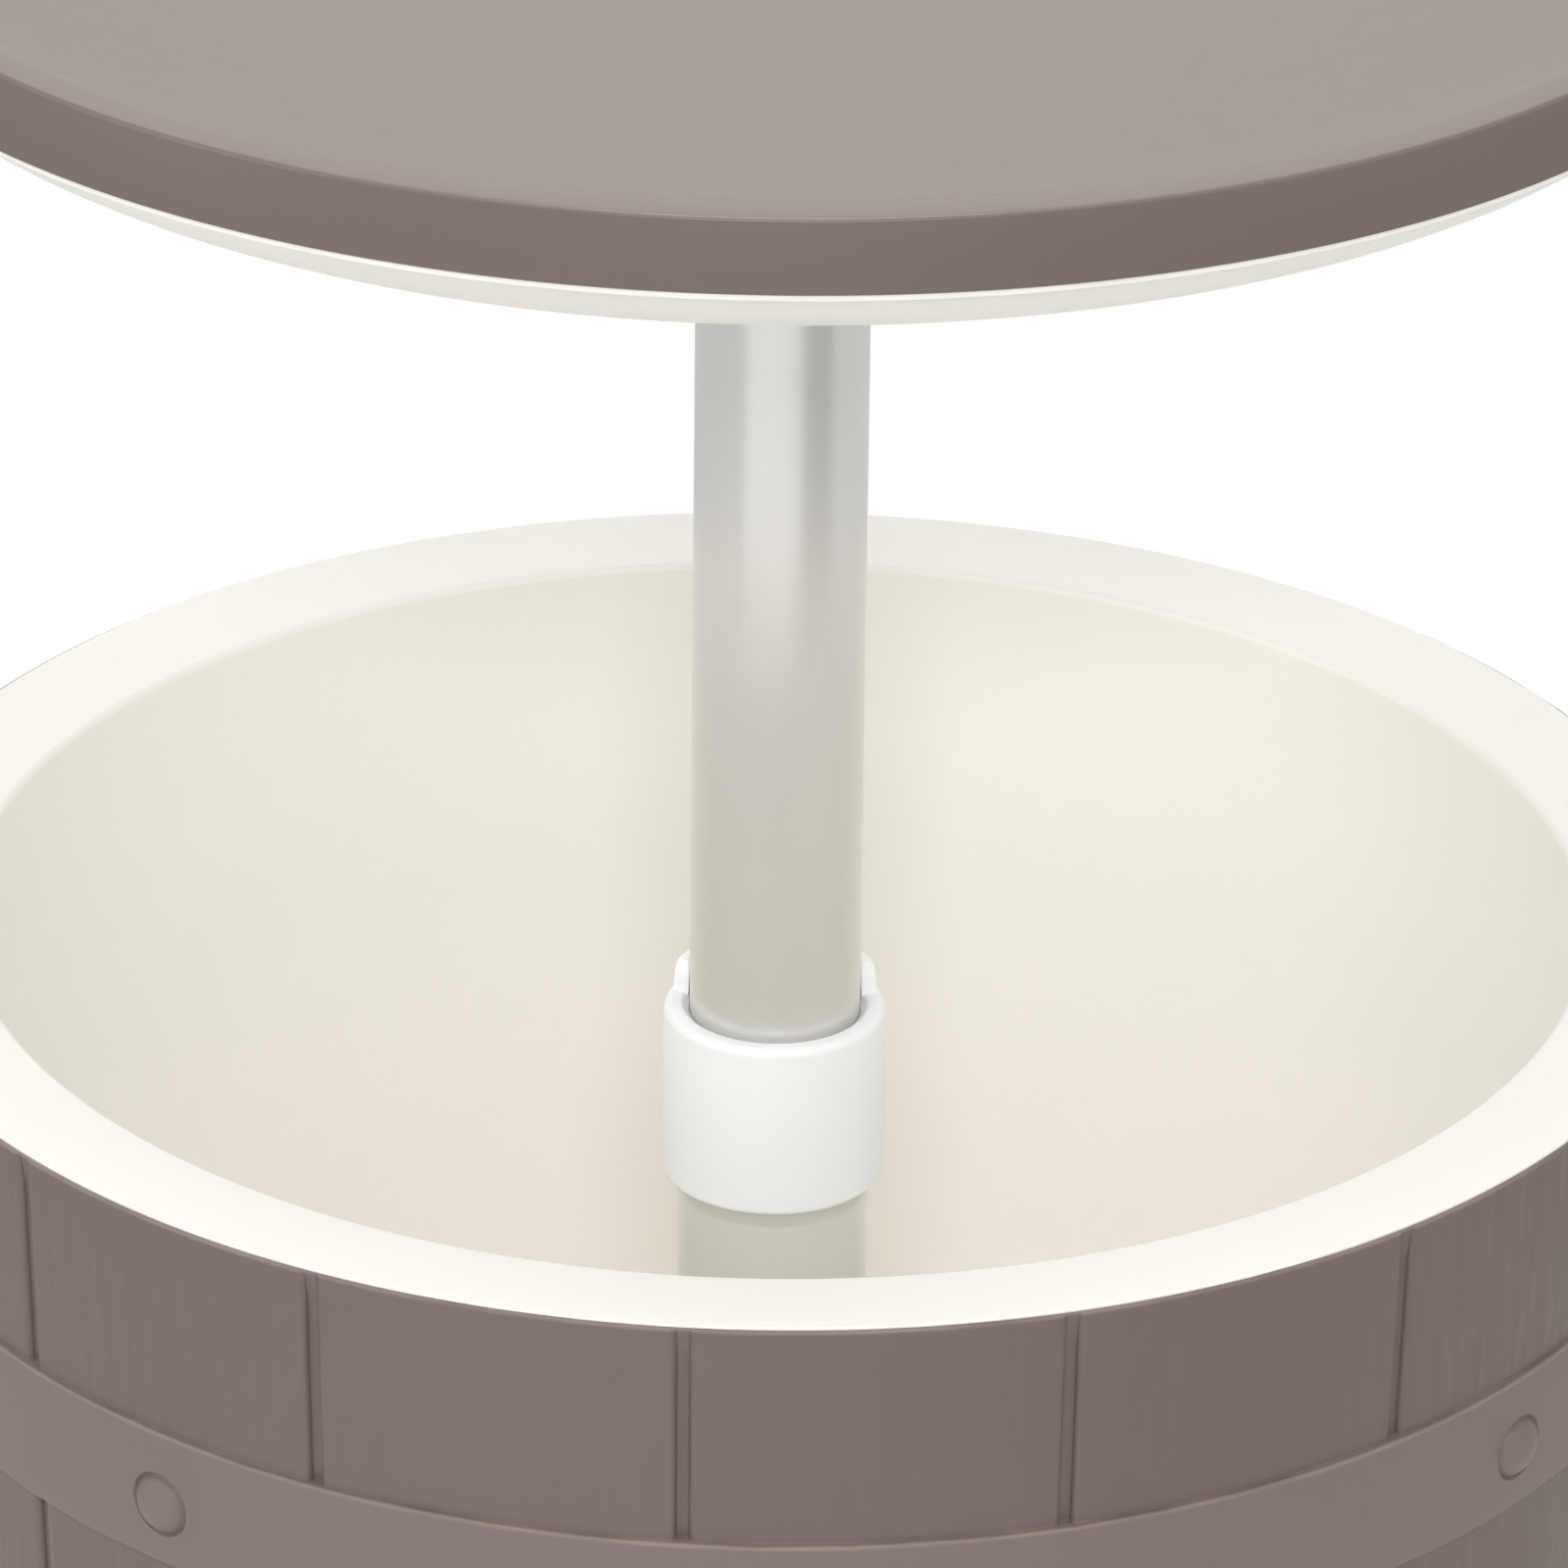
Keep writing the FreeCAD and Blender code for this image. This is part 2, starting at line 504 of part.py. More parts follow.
def cooler_liner():
    """White basin with a flat rim, a boss round the pole and a drain seat."""
    body = new_body("cooler_liner")
    turned(body, "basin", [
        ("outer_tube_radius + fit_gap", "floor_under"),
        ("basin_foot_radius + flange_thick - basin_bevel", "floor_under"),
        ("basin_foot_radius + flange_thick + bevel_run", "floor_under + basin_bevel"),
        ("mouth_radius + flange_thick", "flange_under"),
        ("lip_radius - rim_lip_thick", "flange_under"),
        ("lip_radius - rim_lip_thick", "flange_under - rim_lip_depth"),
        ("lip_radius", "flange_under - rim_lip_depth"),
        ("lip_radius", "flange_under"),
        ("rim_radius", "flange_under"),
        ("rim_radius", "rim_height - rim_edge_bevel"),
        ("rim_radius - rim_edge_bevel", "rim_height"),
        ("mouth_radius + mouth_run", "rim_height", "mouth_round"),
        ("mouth_radius - mouth_run * sin(wall_draft * 1 deg)",
         "rim_height - mouth_run * cos(wall_draft * 1 deg)"),
        ("basin_foot_radius + bevel_run", "basin_floor + basin_bevel"),
        ("basin_foot_radius - basin_bevel", "basin_floor"),
        ("boss_radius", "basin_floor"),
        ("boss_radius", "basin_floor + boss_height"),
        ("outer_tube_radius + fit_gap", "basin_floor + boss_height"),
    ])
    sketch = new_sketch(body, "hook_outline")
    outline(sketch, [
        ("lip_radius - rim_lip_thick / 2", "flange_under - rim_lip_depth"),
        ("lip_radius", "flange_under - rim_lip_depth"),
        ("bead_radius + hook_reach / 2", "flange_under - rim_lip_depth + hook_height / 2"),
        ("bead_radius + hook_reach / 2", "flange_under - rim_lip_depth + hook_height"),
        ("lip_radius - rim_lip_thick / 2", "flange_under - rim_lip_depth + hook_height"),
    ])
    hook = extruded(body, "snap_hook", sketch, "hook_width", both_ways=True)
    around(body, "snap_hooks", hook, "hook_count")
    sketch = new_sketch(body, "drain_pad_round", "XY_Plane", lift="drain_under")
    disc(sketch, "drain_circle", "0", "drain_flange + flange_thick")
    extruded(body, "drain_pad", sketch, "basin_floor - drain_under")
    sketch = new_sketch(body, "drain_seat_round", "XY_Plane", lift="basin_floor")
    disc(sketch, "drain_circle", "0", "drain_flange + fit_gap")
    extruded(body, "drain_seat", sketch, "drain_washer_thick + drain_flange_thick", "PartDesign::Pocket")
    sketch = new_sketch(body, "drain_hole_round", "XY_Plane", lift="basin_floor")
    disc(sketch, "drain_circle", "0", "drain_spout + fit_gap")
    extruded(body, "drain_hole", sketch, "basin_floor - drain_under", "PartDesign::Pocket")


def drain():
    """Spout through the basin's floor with washer, ring nut, pipe and stopper."""
    body = new_body("drain_fitting")
    turned(body, "spout", [
        ("drain_circle + drain_bore", "drain_under - drain_spout_length"),
        ("drain_circle + drain_spout", "drain_under - drain_spout_length"),
        ("drain_circle + drain_spout", "drain_seat + drain_washer_thick"),
        ("drain_circle + drain_flange", "drain_seat + drain_washer_thick"),
        ("drain_circle + drain_flange", "basin_floor"),
        ("drain_circle + drain_bore", "basin_floor"),
    ], axis="drain_circle")
    body = new_body("drain_washer")
    turned(body, "washer", [
        ("drain_circle + drain_spout + fit_gap", "drain_seat"),
        ("drain_circle + drain_flange", "drain_seat"),
        ("drain_circle + drain_flange", "drain_seat + drain_washer_thick"),
        ("drain_circle + drain_spout + fit_gap", "drain_seat + drain_washer_thick"),
    ], axis="drain_circle")
    body = new_body("drain_nut")
    turned(body, "nut", [
        ("drain_circle + drain_spout + thread_gap", "drain_under - drain_nut_height"),
        ("drain_circle + drain_nut_radius", "drain_under - drain_nut_height"),
        ("drain_circle + drain_nut_radius", "drain_under - drain_nut_flange"),
        ("drain_circle + drain_nut_radius + drain_nut_flange", "drain_under - drain_nut_flange"),
        ("drain_circle + drain_nut_radius + drain_nut_flange", "drain_under"),
        ("drain_circle + drain_spout + thread_gap", "drain_under"),
    ], axis="drain_circle")
    body = new_body("drain_pipe")
    pipe_low = "shell_lift + drain_pipe_wall"
    pipe_high = "drain_under - drain_spout_length + drain_pipe_overlap"
    turned(body, "pipe", [
        ("drain_circle + drain_spout + fit_gap", pipe_low),
        ("drain_circle + drain_spout + fit_gap + drain_pipe_wall", pipe_low),
        ("drain_circle + drain_spout + fit_gap + drain_pipe_wall", pipe_high),
        ("drain_circle + drain_spout + fit_gap", pipe_high),
    ], axis="drain_circle")
    body = new_body("drain_plug")
    stem = "drain_circle + drain_bore - slide_gap"
    top = "basin_floor + drain_knob_height"
    turned(body, "stopper", [
        ("drain_circle", "basin_floor - drain_plug_depth"),
        (stem, "basin_floor - drain_plug_depth"),
        (stem, "basin_floor"),
        ("drain_circle + drain_knob_radius", "basin_floor"),
        ("drain_circle + drain_knob_radius", "basin_floor + drain_plug_rim"),
        ("drain_circle + drain_knob_neck", "basin_floor + drain_plug_rim"),
        ("drain_circle + drain_knob_neck", top + " - drain_plug_rim"),
        ("drain_circle + 2 * drain_knob_neck", top + " - drain_plug_rim"),
        ("drain_circle + 2 * drain_knob_neck", top),
        ("drain_circle", top),
    ], axis="drain_circle")


def pole_seal():
    """Rubber ring that caps the basin's boss and hugs the lower tube."""
    body = new_body("tube_seal")
    boss_top = "basin_floor + boss_height"
    turned(body, "seal", [
        ("boss_radius + thread_gap", boss_top + " - seal_skirt"),
        ("boss_radius + seal_thick", boss_top + " - seal_skirt"),
        ("boss_radius + seal_thick", boss_top + " + seal_thick"),
        ("outer_tube_radius + seal_thick", boss_top + " + seal_thick"),
        ("outer_tube_radius + seal_thick", boss_top + " + seal_skirt"),
        ("outer_tube_radius + thread_gap", boss_top + " + seal_skirt"),
        ("outer_tube_radius + thread_gap", boss_top),
        ("boss_radius + thread_gap", boss_top),
    ])


def base_plate():
    """Ribbed bottom moulding with the pole socket and the drain outlet."""
    body = new_body("base_plate")
    turned(body, "plate", [
        ("bolt_radius + fit_gap", "base_under"),
        ("plate_radius - base_thick", "base_under"),
        ("plate_radius - base_thick", "shell_lift + fit_gap"),
        ("plate_radius", "shell_lift + fit_gap"),
        ("plate_radius", "base_top"),
        ("outer_tube_radius + fit_gap + base_hub_wall", "base_top"),
        ("outer_tube_radius + fit_gap + base_hub_wall", "base_top + base_hub_height"),
        ("outer_tube_radius + fit_gap", "base_top + base_hub_height"),
        ("outer_tube_radius + fit_gap", "base_top"),
        ("bolt_radius + fit_gap", "base_top"),
    ])
    sketch = new_sketch(body, "rib_outline", turn="180 deg / base_rib_count")
    hub_face = "outer_tube_radius + fit_gap + base_hub_wall / 2"
    outline(sketch, [
        (hub_face, "base_under + base_thick / 2"),
        ("base_rib_reach", "base_under + base_thick / 2"),
        ("base_rib_reach", "base_top + base_thick"),
        (hub_face, "base_top + base_hub_height - base_thick"),
    ])
    rib = extruded(body, "rib", sketch, "base_rib_thick", both_ways=True)
    around(body, "ribs", rib, "base_rib_count")
    turned(body, "ring_rib", [
        ("base_ring", "base_under + base_thick / 2"),
        ("base_ring + base_rib_thick", "base_under + base_thick / 2"),
        ("base_ring + base_rib_thick", "base_top + base_thick + base_rib_thick"),
        ("base_ring", "base_top + base_thick + base_rib_thick"),
    ])
    pipe_radius = "drain_spout + fit_gap + drain_pipe_wall"
    sketch = new_sketch(body, "outlet_round", "XY_Plane", lift="base_under")
    disc(sketch, "drain_circle", "0", pipe_radius + " + fit_gap + drain_pipe_wall")
    extruded(body, "outlet", sketch, "base_thick + drain_pipe_overlap")
    sketch = new_sketch(body, "outlet_hole_round", "XY_Plane", lift="base_under")
    disc(sketch, "drain_circle", "0", pipe_radius + " + fit_gap")
    extruded(body, "outlet_hole", sketch, "base_thick + drain_pipe_overlap", "PartDesign::Pocket", flip=True)
    for name, circle, radius, count in (
        ("screw_hole", "base_screw_circle", "screw_radius + fit_gap", "base_screw_count"),
        ("foot_hole", "foot_circle", "foot_stem + thread_gap", "foot_count"),
    ):
        sketch = new_sketch(body, name + "_round", "XY_Plane", lift="base_under")
        disc(sketch, circle, "0", radius)
        hole = extruded(body, name, sketch, "base_thick", "PartDesign::Pocket", flip=True)
        around(body, name + "s", hole, count)


def screws(name, circle, count, face, grip):
    """Pan-head screws driven upwards from a face, evenly round the pole."""
    body = new_body(name)
    screw = turned(body, "screw", [
        (circle, face + " - screw_head_height"),
        (circle + " + screw_head", face + " - screw_head_height"),
        (circle + " + screw_head", face),
        (circle + " + screw_radius", face),
        (circle + " + screw_radius", face + " + " + grip),
        (circle, face + " + " + grip),
    ], axis=circle)
    around(body, "screws", screw, count)


def rubber_feet():
    """Feet with stems that snap through the base plate."""
    body = new_body("rubber_feet")
    foot = turned(body, "foot", [
        ("foot_circle", "0"),
        ("foot_circle + foot_radius - foot_bevel", "0"),
        ("foot_circle + foot_radius", "foot_bevel"),
        ("foot_circle + foot_radius", "base_under"),
        ("foot_circle + foot_stem", "base_under"),
        ("foot_circle + foot_stem", "base_top"),
        ("foot_circle + foot_stem + foot_bevel", "base_top"),
        ("foot_circle + foot_stem + foot_bevel", "base_top + foot_bevel"),
        ("foot_circle", "base_top + foot_bevel"),
    ], axis="foot_circle")
    around(body, "feet", foot, "foot_count")


def lower_tube():
    """Fixed tube of the pole with the plug, bolt and washer that hold it down."""
    body = new_body("outer_tube")
    turned(body, "tube", [
        ("tube_bore", "base_top"),
        ("outer_tube_radius", "base_top"),
        ("outer_tube_radius", "tube_top"),
        ("tube_bore", "tube_top"),
    ])
    body = new_body("tube_foot_plug")
    turned(body, "plug", [
        ("bolt_radius + thread_gap", "base_top"),
        ("tube_bore - thread_gap", "base_top"),
        ("tube_bore - thread_gap", "base_top + foot_plug_height"),
        ("tube_bore - foot_plug_wall", "base_top + foot_plug_height"),
        ("tube_bore - foot_plug_wall", "base_top + foot_plug_height / 2"),
        ("bolt_radius + thread_gap", "base_top + foot_plug_height / 2"),
    ])
    body = new_body("foot_washer")
    turned(body, "washer", [
        ("bolt_radius + fit_gap", "base_under - washer_thick"),
        ("washer_radius", "base_under - washer_thick"),
        ("washer_radius", "base_under"),
        ("bolt_radius + fit_gap", "base_under"),
    ])
    body = new_body("foot_bolt")
    head_under = "base_under - washer_thick - bolt_head_height"
    sketch = new_sketch(body, "head_outline", "XY_Plane", lift=head_under)
    corner = "bolt_head_width / sqrt(3) * %s(%d * 180 deg / 6)"
    outline(sketch, [(corner % ("cos", turn), corner % ("sin", turn)) for turn in range(1, 12, 2)])
    extruded(body, "head", sketch, "bolt_head_height")
    sketch = new_sketch(body, "shank_round", "XY_Plane", lift=head_under)
    disc(sketch, "0", "0", "bolt_radius")
    extruded(body, "shank", sketch, "base_top + foot_plug_height * 0.7 - (%s)" % head_under)


def clamp_collet():
    """Slotted sleeve on the lower tube's end; its fingers grip the sliding tube."""
    body = new_body("clamp_collet")
    outer = "collar_bore - slide_gap"
    low = "collar_low + collar_lip + slide_gap"
    high = "collar_top - collar_cap - collet_top_gap"
    turned(body, "sleeve", [
        ("outer_tube_radius + thread_gap", low),
        (outer, low),
        (outer, high + " - collet_cone_height"),
        (outer + " - collet_cone", high),
        ("inner_tube_radius + slide_gap", high),
        ("inner_tube_radius + slide_gap", "tube_top"),
        ("outer_tube_radius + thread_gap", "tube_top"),
    ])
    lug_low = "collar_low + collar_lip + lug_height"
    sketch = new_sketch(body, "lug_outline")
    outline(sketch, [
        (outer + " - slide_gap", lug_low),
        ("collar_bore + lug_reach - slide_gap", lug_low),
        ("collar_bore + lug_reach - slide_gap", lug_low + " + lug_height"),
        (outer + " - slide_gap", lug_low + " + lug_height"),
    ])
    lug = swept(body, "lug", sketch, "lug_width / collar_bore * 180 deg / pi")
    around(body, "lugs", lug, "lug_count")
    sketch = new_sketch(body, "slot_outline")
    outline(sketch, [
        ("pole_bore", "tube_top + collet_shoulder"),
        ("collar_bore", "tube_top + collet_shoulder"),
        ("collar_bore", "collar_top - collar_cap"),
        ("pole_bore", "collar_top - collar_cap"),
    ])
    slot = extruded(body, "slot", sketch, "collet_slot_width", "PartDesign::Pocket", both_ways=True)
    around(body, "slots", slot, "collet_slots")


def lock_collar():
    """Ring that squeezes the collet; its groove turns on the lugs and its thumb tab turns it."""
    body = new_body("lock_collar")
    lug_low = "collar_low + collar_lip + lug_height"
    cone_low = "collar_top - collar_cap - collet_top_gap - collet_cone_height"
    turned(body, "collar", [
        ("outer_tube_radius + slide_gap", "collar_low"),
        ("collar_radius - collar_bevel", "collar_low"),
        ("collar_radius", "collar_low + collar_bevel"),
        ("collar_radius", "collar_top - collar_bevel"),
        ("collar_radius - collar_bevel", "collar_top"),
        ("inner_tube_radius + collar_mouth_gap", "collar_top"),
        ("inner_tube_radius + collar_mouth_gap", "collar_top - collar_cap"),
        ("collar_bore - collet_cone", "collar_top - collar_cap"),
        ("collar_bore", cone_low),
        ("collar_bore", lug_low + " + lug_height + slide_gap"),
        ("collar_bore + lug_reach", lug_low + " + lug_height + slide_gap"),
        ("collar_bore + lug_reach", lug_low + " - slide_gap"),
        ("collar_bore", lug_low + " - slide_gap"),
        ("collar_bore", "collar_low + collar_lip"),
        ("outer_tube_radius + slide_gap", "collar_low + collar_lip"),
    ])
    sketch = new_sketch(body, "tab_outline", turn="tab_turn * 1 deg")
    outline(sketch, [
        ("inner_tube_radius + collar_mouth_gap", "collar_top - collar_cap / 2"),
        ("tab_radius", "collar_top - collar_cap / 2"),
        ("tab_radius", "collar_top + tab_rise"),
        ("inner_tube_radius + collar_mouth_gap", "collar_top + tab_rise"),
    ])
    swept(body, "thumb_tab", sketch, "2 * tab_reach * 1 deg")


def sliding_tube():
    """Sliding tube of the pole with its end plug, guide bush and spring ring."""
    body = new_body("inner_tube")
    ring_low = "pole_low + 2 * slide_gap + bush_height"
    turned(body, "tube", [
        ("pole_bore", "pole_low"),
        ("inner_tube_radius", "pole_low"),
        ("inner_tube_radius", ring_low),
        ("inner_tube_radius - ring_groove", ring_low),
        ("inner_tube_radius - ring_groove", ring_low + " + ring_wire + fit_gap"),
        ("inner_tube_radius", ring_low + " + ring_wire + fit_gap"),
        ("inner_tube_radius", "pole_top"),
        ("pole_bore", "pole_top"),
    ])
    sketch = new_sketch(body, "pin_hole_round")
    disc(sketch, "0", "pin_height", "pin_radius + thread_gap")
    extruded(body, "pin_hole", sketch, "3 * inner_tube_radius", "PartDesign::Pocket", both_ways=True)
    body = new_body("bush_ring")
    turned(body, "ring", [
        ("inner_tube_radius - ring_groove + thread_gap", ring_low),
        ("tube_bore - 2 * slide_gap", ring_low),
        ("tube_bore - 2 * slide_gap", ring_low + " + ring_wire"),
        ("inner_tube_radius - ring_groove + thread_gap", ring_low + " + ring_wire"),
    ])
    sketch = new_sketch(body, "ring_gap_outline")
    outline(sketch, [
        ("0", ring_low + " - ring_wire"),
        ("tube_bore", ring_low + " - ring_wire"),
        ("tube_bore", ring_low + " + 2 * ring_wire"),
        ("0", ring_low + " + 2 * ring_wire"),
    ])
    extruded(body, "ring_gap", sketch, "4 * ring_wire", "PartDesign::Pocket", both_ways=True)
    body = new_body("guide_bush")
    turned(body, "bush", [
        ("inner_tube_radius + slide_gap", "pole_low + slide_gap"),
        ("tube_bore - slide_gap", "pole_low + slide_gap"),
        ("tube_bore - slide_gap", "pole_low + slide_gap + bush_height"),
        ("inner_tube_radius + slide_gap", "pole_low + slide_gap + bush_height"),
    ])
    body = new_body("pole_end_plug")
    turned(body, "plug", [
        ("pole_bore - plug_flange", "pole_low - plug_flange"),
        ("tube_bore - 2 * slide_gap", "pole_low - plug_flange"),
        ("tube_bore - 2 * slide_gap", "pole_low"),
        ("pole_bore - thread_gap", "pole_low"),
        ("pole_bore - thread_gap", "pole_low + plug_depth"),
        ("pole_bore - plug_flange", "pole_low + plug_depth"),
    ])


def top_socket():
    """Flanged cup that holds the pole inside the tabletop, and its cross pin."""
    body = new_body("top_socket")
    turned(body, "cup", [
        ("inner_tube_radius + thread_gap", "dish_inside"),
        ("socket_flange_radius", "dish_inside"),
        ("socket_flange_radius", "dish_inside + socket_flange_thick"),
        ("inner_tube_radius + socket_wall", "dish_inside + socket_flange_thick"),
        ("inner_tube_radius + socket_wall", "socket_top"),
        ("0", "socket_top"),
        ("0", "pole_top"),
        ("inner_tube_radius + thread_gap", "pole_top"),
    ])
    posts(body, "socket_post", "socket_screw_circle", "dish_inside", "socket_flange_thick + screw_grip / 2",
          "socket_screw_count")
    sketch = new_sketch(body, "pin_hole_round")
    disc(sketch, "0", "pin_height", "pin_radius + thread_gap")
    extruded(body, "pin_hole", sketch, "3 * inner_tube_radius", "PartDesign::Pocket", both_ways=True)
    body = new_body("socket_pin")
    sketch = new_sketch(body, "pin_round")
    disc(sketch, "0", "pin_height", "pin_radius")
    extruded(body, "pin", sketch, "2 * (inner_tube_radius + socket_wall + fit_gap)", both_ways=True)


def lid_underside():
    """White dish under the tabletop; its seat lands on the basin's rim."""
    body = new_body("lid_underside")
    seat_inner = "dish_shoulder_radius - dish_seat_width"
    inset = "lid_radius - lid_wall - fit_gap"
    turned(body, "dish", [
        ("inner_tube_radius + fit_gap", "dish_floor"),
        ("dish_floor_radius", "dish_floor"),
        (seat_inner, "dish_seat"),
        ("dish_shoulder_radius", "dish_seat", "dish_curve"),
        ("lid_radius - dish_start", "lid_edge - lip_thick"),
        ("lid_radius - lip_inset", "lid_edge - lip_thick"),
        ("lid_radius - lip_inset", "lid_edge"),
        (inset, "lid_edge"),
        (inset + " - lip_upstand * skirt_slope", "lid_edge + lip_upstand"),
        (inset + " - lip_upstand * skirt_slope - lid_wall", "lid_edge + lip_upstand"),
        (inset + " - lid_wall", "lid_edge"),
        ("dish_shoulder_radius - lid_wall / 2", "dish_seat + lid_wall"),
        (seat_inner + " - lid_wall / 2", "dish_seat + lid_wall"),
        ("dish_floor_radius - lid_wall / 4", "dish_inside"),
        ("inner_tube_radius + fit_gap", "dish_inside"),
    ])
    for name, circle, count in (
        ("lid_screw_hole", "lid_screw_circle", "lid_screw_count"),
        ("socket_screw_hole", "socket_screw_circle", "socket_screw_count"),
    ):
        sketch = new_sketch(body, name + "_round", "XY_Plane", lift="dish_floor")
        disc(sketch, circle, "0", "screw_radius + fit_gap")
        hole = extruded(body, name, sketch, "lid_wall", "PartDesign::Pocket", flip=True)
        around(body, name + "s", hole, count)


def table_top():
    """Taupe top with a raised rim, a drafted skirt, ribs and screw posts."""
    body = new_body("table_top")
    rim_inner = "lid_top_radius - lid_rim_width"
    turned(body, "panel", [
        ("0", "field_under"),
        ("lid_radius - lid_wall - (field_under - lid_edge) * skirt_slope", "field_under"),
        ("lid_radius - lid_wall", "lid_edge"),
        ("lid_radius", "lid_edge"),
        ("lid_top_radius + lid_corner * skirt_slope", "lid_top - lid_corner"),
        ("lid_top_radius - lid_corner", "lid_top"),
        (rim_inner, "lid_top"),
        (rim_inner + " - lid_recess", "field_top"),
        ("0", "field_top"),
    ])
    sketch = new_sketch(body, "rib_outline")
    outline(sketch, [
        ("top_rib_inner", "field_under - top_rib_depth"),
        ("top_rib_outer", "field_under - top_rib_depth"),
        ("top_rib_outer", "field_under + lid_wall / 2"),
        ("top_rib_inner", "field_under + lid_wall / 2"),
    ])
    rib = extruded(body, "rib", sketch, "top_rib_thick", both_ways=True)
    around(body, "ribs", rib, "top_rib_count")
    for name, radius in (("inner_ring", "top_rib_inner"), ("outer_ring", "top_rib_outer - top_rib_thick")):
        turned(body, name, [
            (radius, "field_under - top_rib_depth"),
            (radius + " + top_rib_thick", "field_under - top_rib_depth"),
            (radius + " + top_rib_thick", "field_under + lid_wall / 2"),
            (radius, "field_under + lid_wall / 2"),
        ])
    posts(body, "lid_post", "lid_screw_circle", "dish_inside", "field_under + lid_wall / 2 - dish_inside",
          "lid_screw_count")


def check_document():
    """Stop on any failed object or piece without a sound shape."""
    for item in doc.Objects:
        if "Invalid" in item.State or "Error" in item.State:
            raise RuntimeError("failed: " + item.Name)
    for body in pieces:
        if body.Shape.isNull() or not body.Shape.isValid():
            raise RuntimeError("bad shape: " + body.Label)


def write_parts():
    """One STEP file for each piece."""
    os.makedirs("parts", exist_ok=True)
    for body in pieces:
        body.Shape.exportStep("parts/%s.step" % body.Label)


def main():
    outer_shell()
    cooler_liner()
    drain()
    pole_seal()
    base_plate()
    screws("base_screws", "base_screw_circle", "base_screw_count", "base_under",
           "base_thick + ledge_thick + screw_grip - 2 * post_end")
    rubber_feet()
    lower_tube()
    clamp_collet()
    lock_collar()
    sliding_tube()
    top_socket()
    screws("socket_screws", "socket_screw_circle", "socket_screw_count", "dish_floor",
           "lid_wall + socket_flange_thick + screw_grip / 2 - 2 * post_end")
    lid_underside()
    screws("lid_screws", "lid_screw_circle", "lid_screw_count", "dish_floor", "lid_wall + screw_grip")
    table_top()
    doc.recompute()
    check_document()
    write_parts()


main()
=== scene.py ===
from collections import namedtuple
import math

import bmesh
import bpy
from mathutils import Matrix, Vector


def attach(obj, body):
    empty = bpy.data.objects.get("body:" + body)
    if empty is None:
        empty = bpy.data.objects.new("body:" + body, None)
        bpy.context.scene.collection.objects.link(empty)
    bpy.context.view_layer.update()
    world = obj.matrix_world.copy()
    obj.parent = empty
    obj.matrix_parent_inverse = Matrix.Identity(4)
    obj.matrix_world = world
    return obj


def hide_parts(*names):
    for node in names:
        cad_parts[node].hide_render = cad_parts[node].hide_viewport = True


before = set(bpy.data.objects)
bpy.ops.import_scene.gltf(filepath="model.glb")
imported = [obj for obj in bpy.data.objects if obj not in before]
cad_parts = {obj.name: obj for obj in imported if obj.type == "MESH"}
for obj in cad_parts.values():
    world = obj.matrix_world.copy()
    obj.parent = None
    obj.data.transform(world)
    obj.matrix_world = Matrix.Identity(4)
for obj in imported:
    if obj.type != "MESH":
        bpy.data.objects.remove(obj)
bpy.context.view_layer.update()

# Sizes of the object, in metres. Radii are taken from the pole's axis.
SHELL_RADIUS = 0.244
SHELL_TOP = 0.537
SHELL_WALL = 0.004
WALL_SLOPE = math.tan(math.radians(2.0))
LIP_TOP = 0.5394
LIP_INSIDE = 0.2431
STAVES = 16
HOOPS = (0.0685, 0.4415)
HOOP_HEIGHT = 0.038

RIM_HEIGHT = 0.540
RIM_RADIUS = 0.2429
MOUTH_HEIGHT = 0.5376
MOUTH_RADIUS = 0.2122
BASIN_WALL = 0.003
FLOOR_TOP = 0.290
FLOOR_UNDER = 0.287
DRAIN_PLACE = 0.120

COLLAR_LOW = 0.457
COLLAR_TOP = 0.506
COLLAR_RADIUS = 0.0295
TUBE_RADIUS = 0.0225
TUBE_WALL = 0.0015
TUBE_LOW = 0.389
TUBE_TOP = 0.8149

LID_EDGE = 0.8115
LID_TOP = 0.8294
LID_RADIUS = 0.2490
LID_TOP_RADIUS = 0.2461
LID_WALL = 0.0030
FIELD_TOP = 0.8276
FIELD_UNDER = 0.8246


# Node trees. The owner of a tree is a material or the world.

def add(owner, kind, **values):
    """New node; values go to its attributes or, by name, to its inputs."""
    node = owner.node_tree.nodes.new(kind)
    for key, value in values.items():
        if hasattr(node, key):
            setattr(node, key, value)
        else:
            node.inputs[key.replace("_", " ")].default_value = value
    return node


def link(owner, source, target):
    """Join two sockets."""
    owner.node_tree.links.new(source, target)


def split(owner, vector):
    """The X, Y and Z of a vector."""
    node = add(owner, "ShaderNodeSeparateXYZ")
    link(owner, vector, node.inputs[0])
    return node.outputs


def new_material(name):
    """Material, its Principled shader and the output that the shader is joined to."""
    mat = bpy.data.materials.new(name)
    mat.use_nodes = True
    mat.node_tree.nodes.clear()
    out = add(mat, "ShaderNodeOutputMaterial")
    shader = add(mat, "ShaderNodeBsdfPrincipled")
    link(mat, shader.outputs["BSDF"], out.inputs["Surface"])
    return mat, shader, out


def maths(mat, operation, a, b=None, within=0.5):
    """Math node on sockets or numbers; within is the reach of a comparison."""
    node = add(mat, "ShaderNodeMath", operation=operation)
    node.inputs[2].default_value = within
    for index, value in enumerate((a, b)):
        if value is None:
            continue
        if isinstance(value, (int, float)):
            node.inputs[index].default_value = value
        else:
            link(mat, value, node.inputs[index])
    return node.outputs[0]


def place(mat):
    """Position in the object's own frame, metres."""
    return add(mat, "ShaderNodeTexCoord").outputs["Object"]


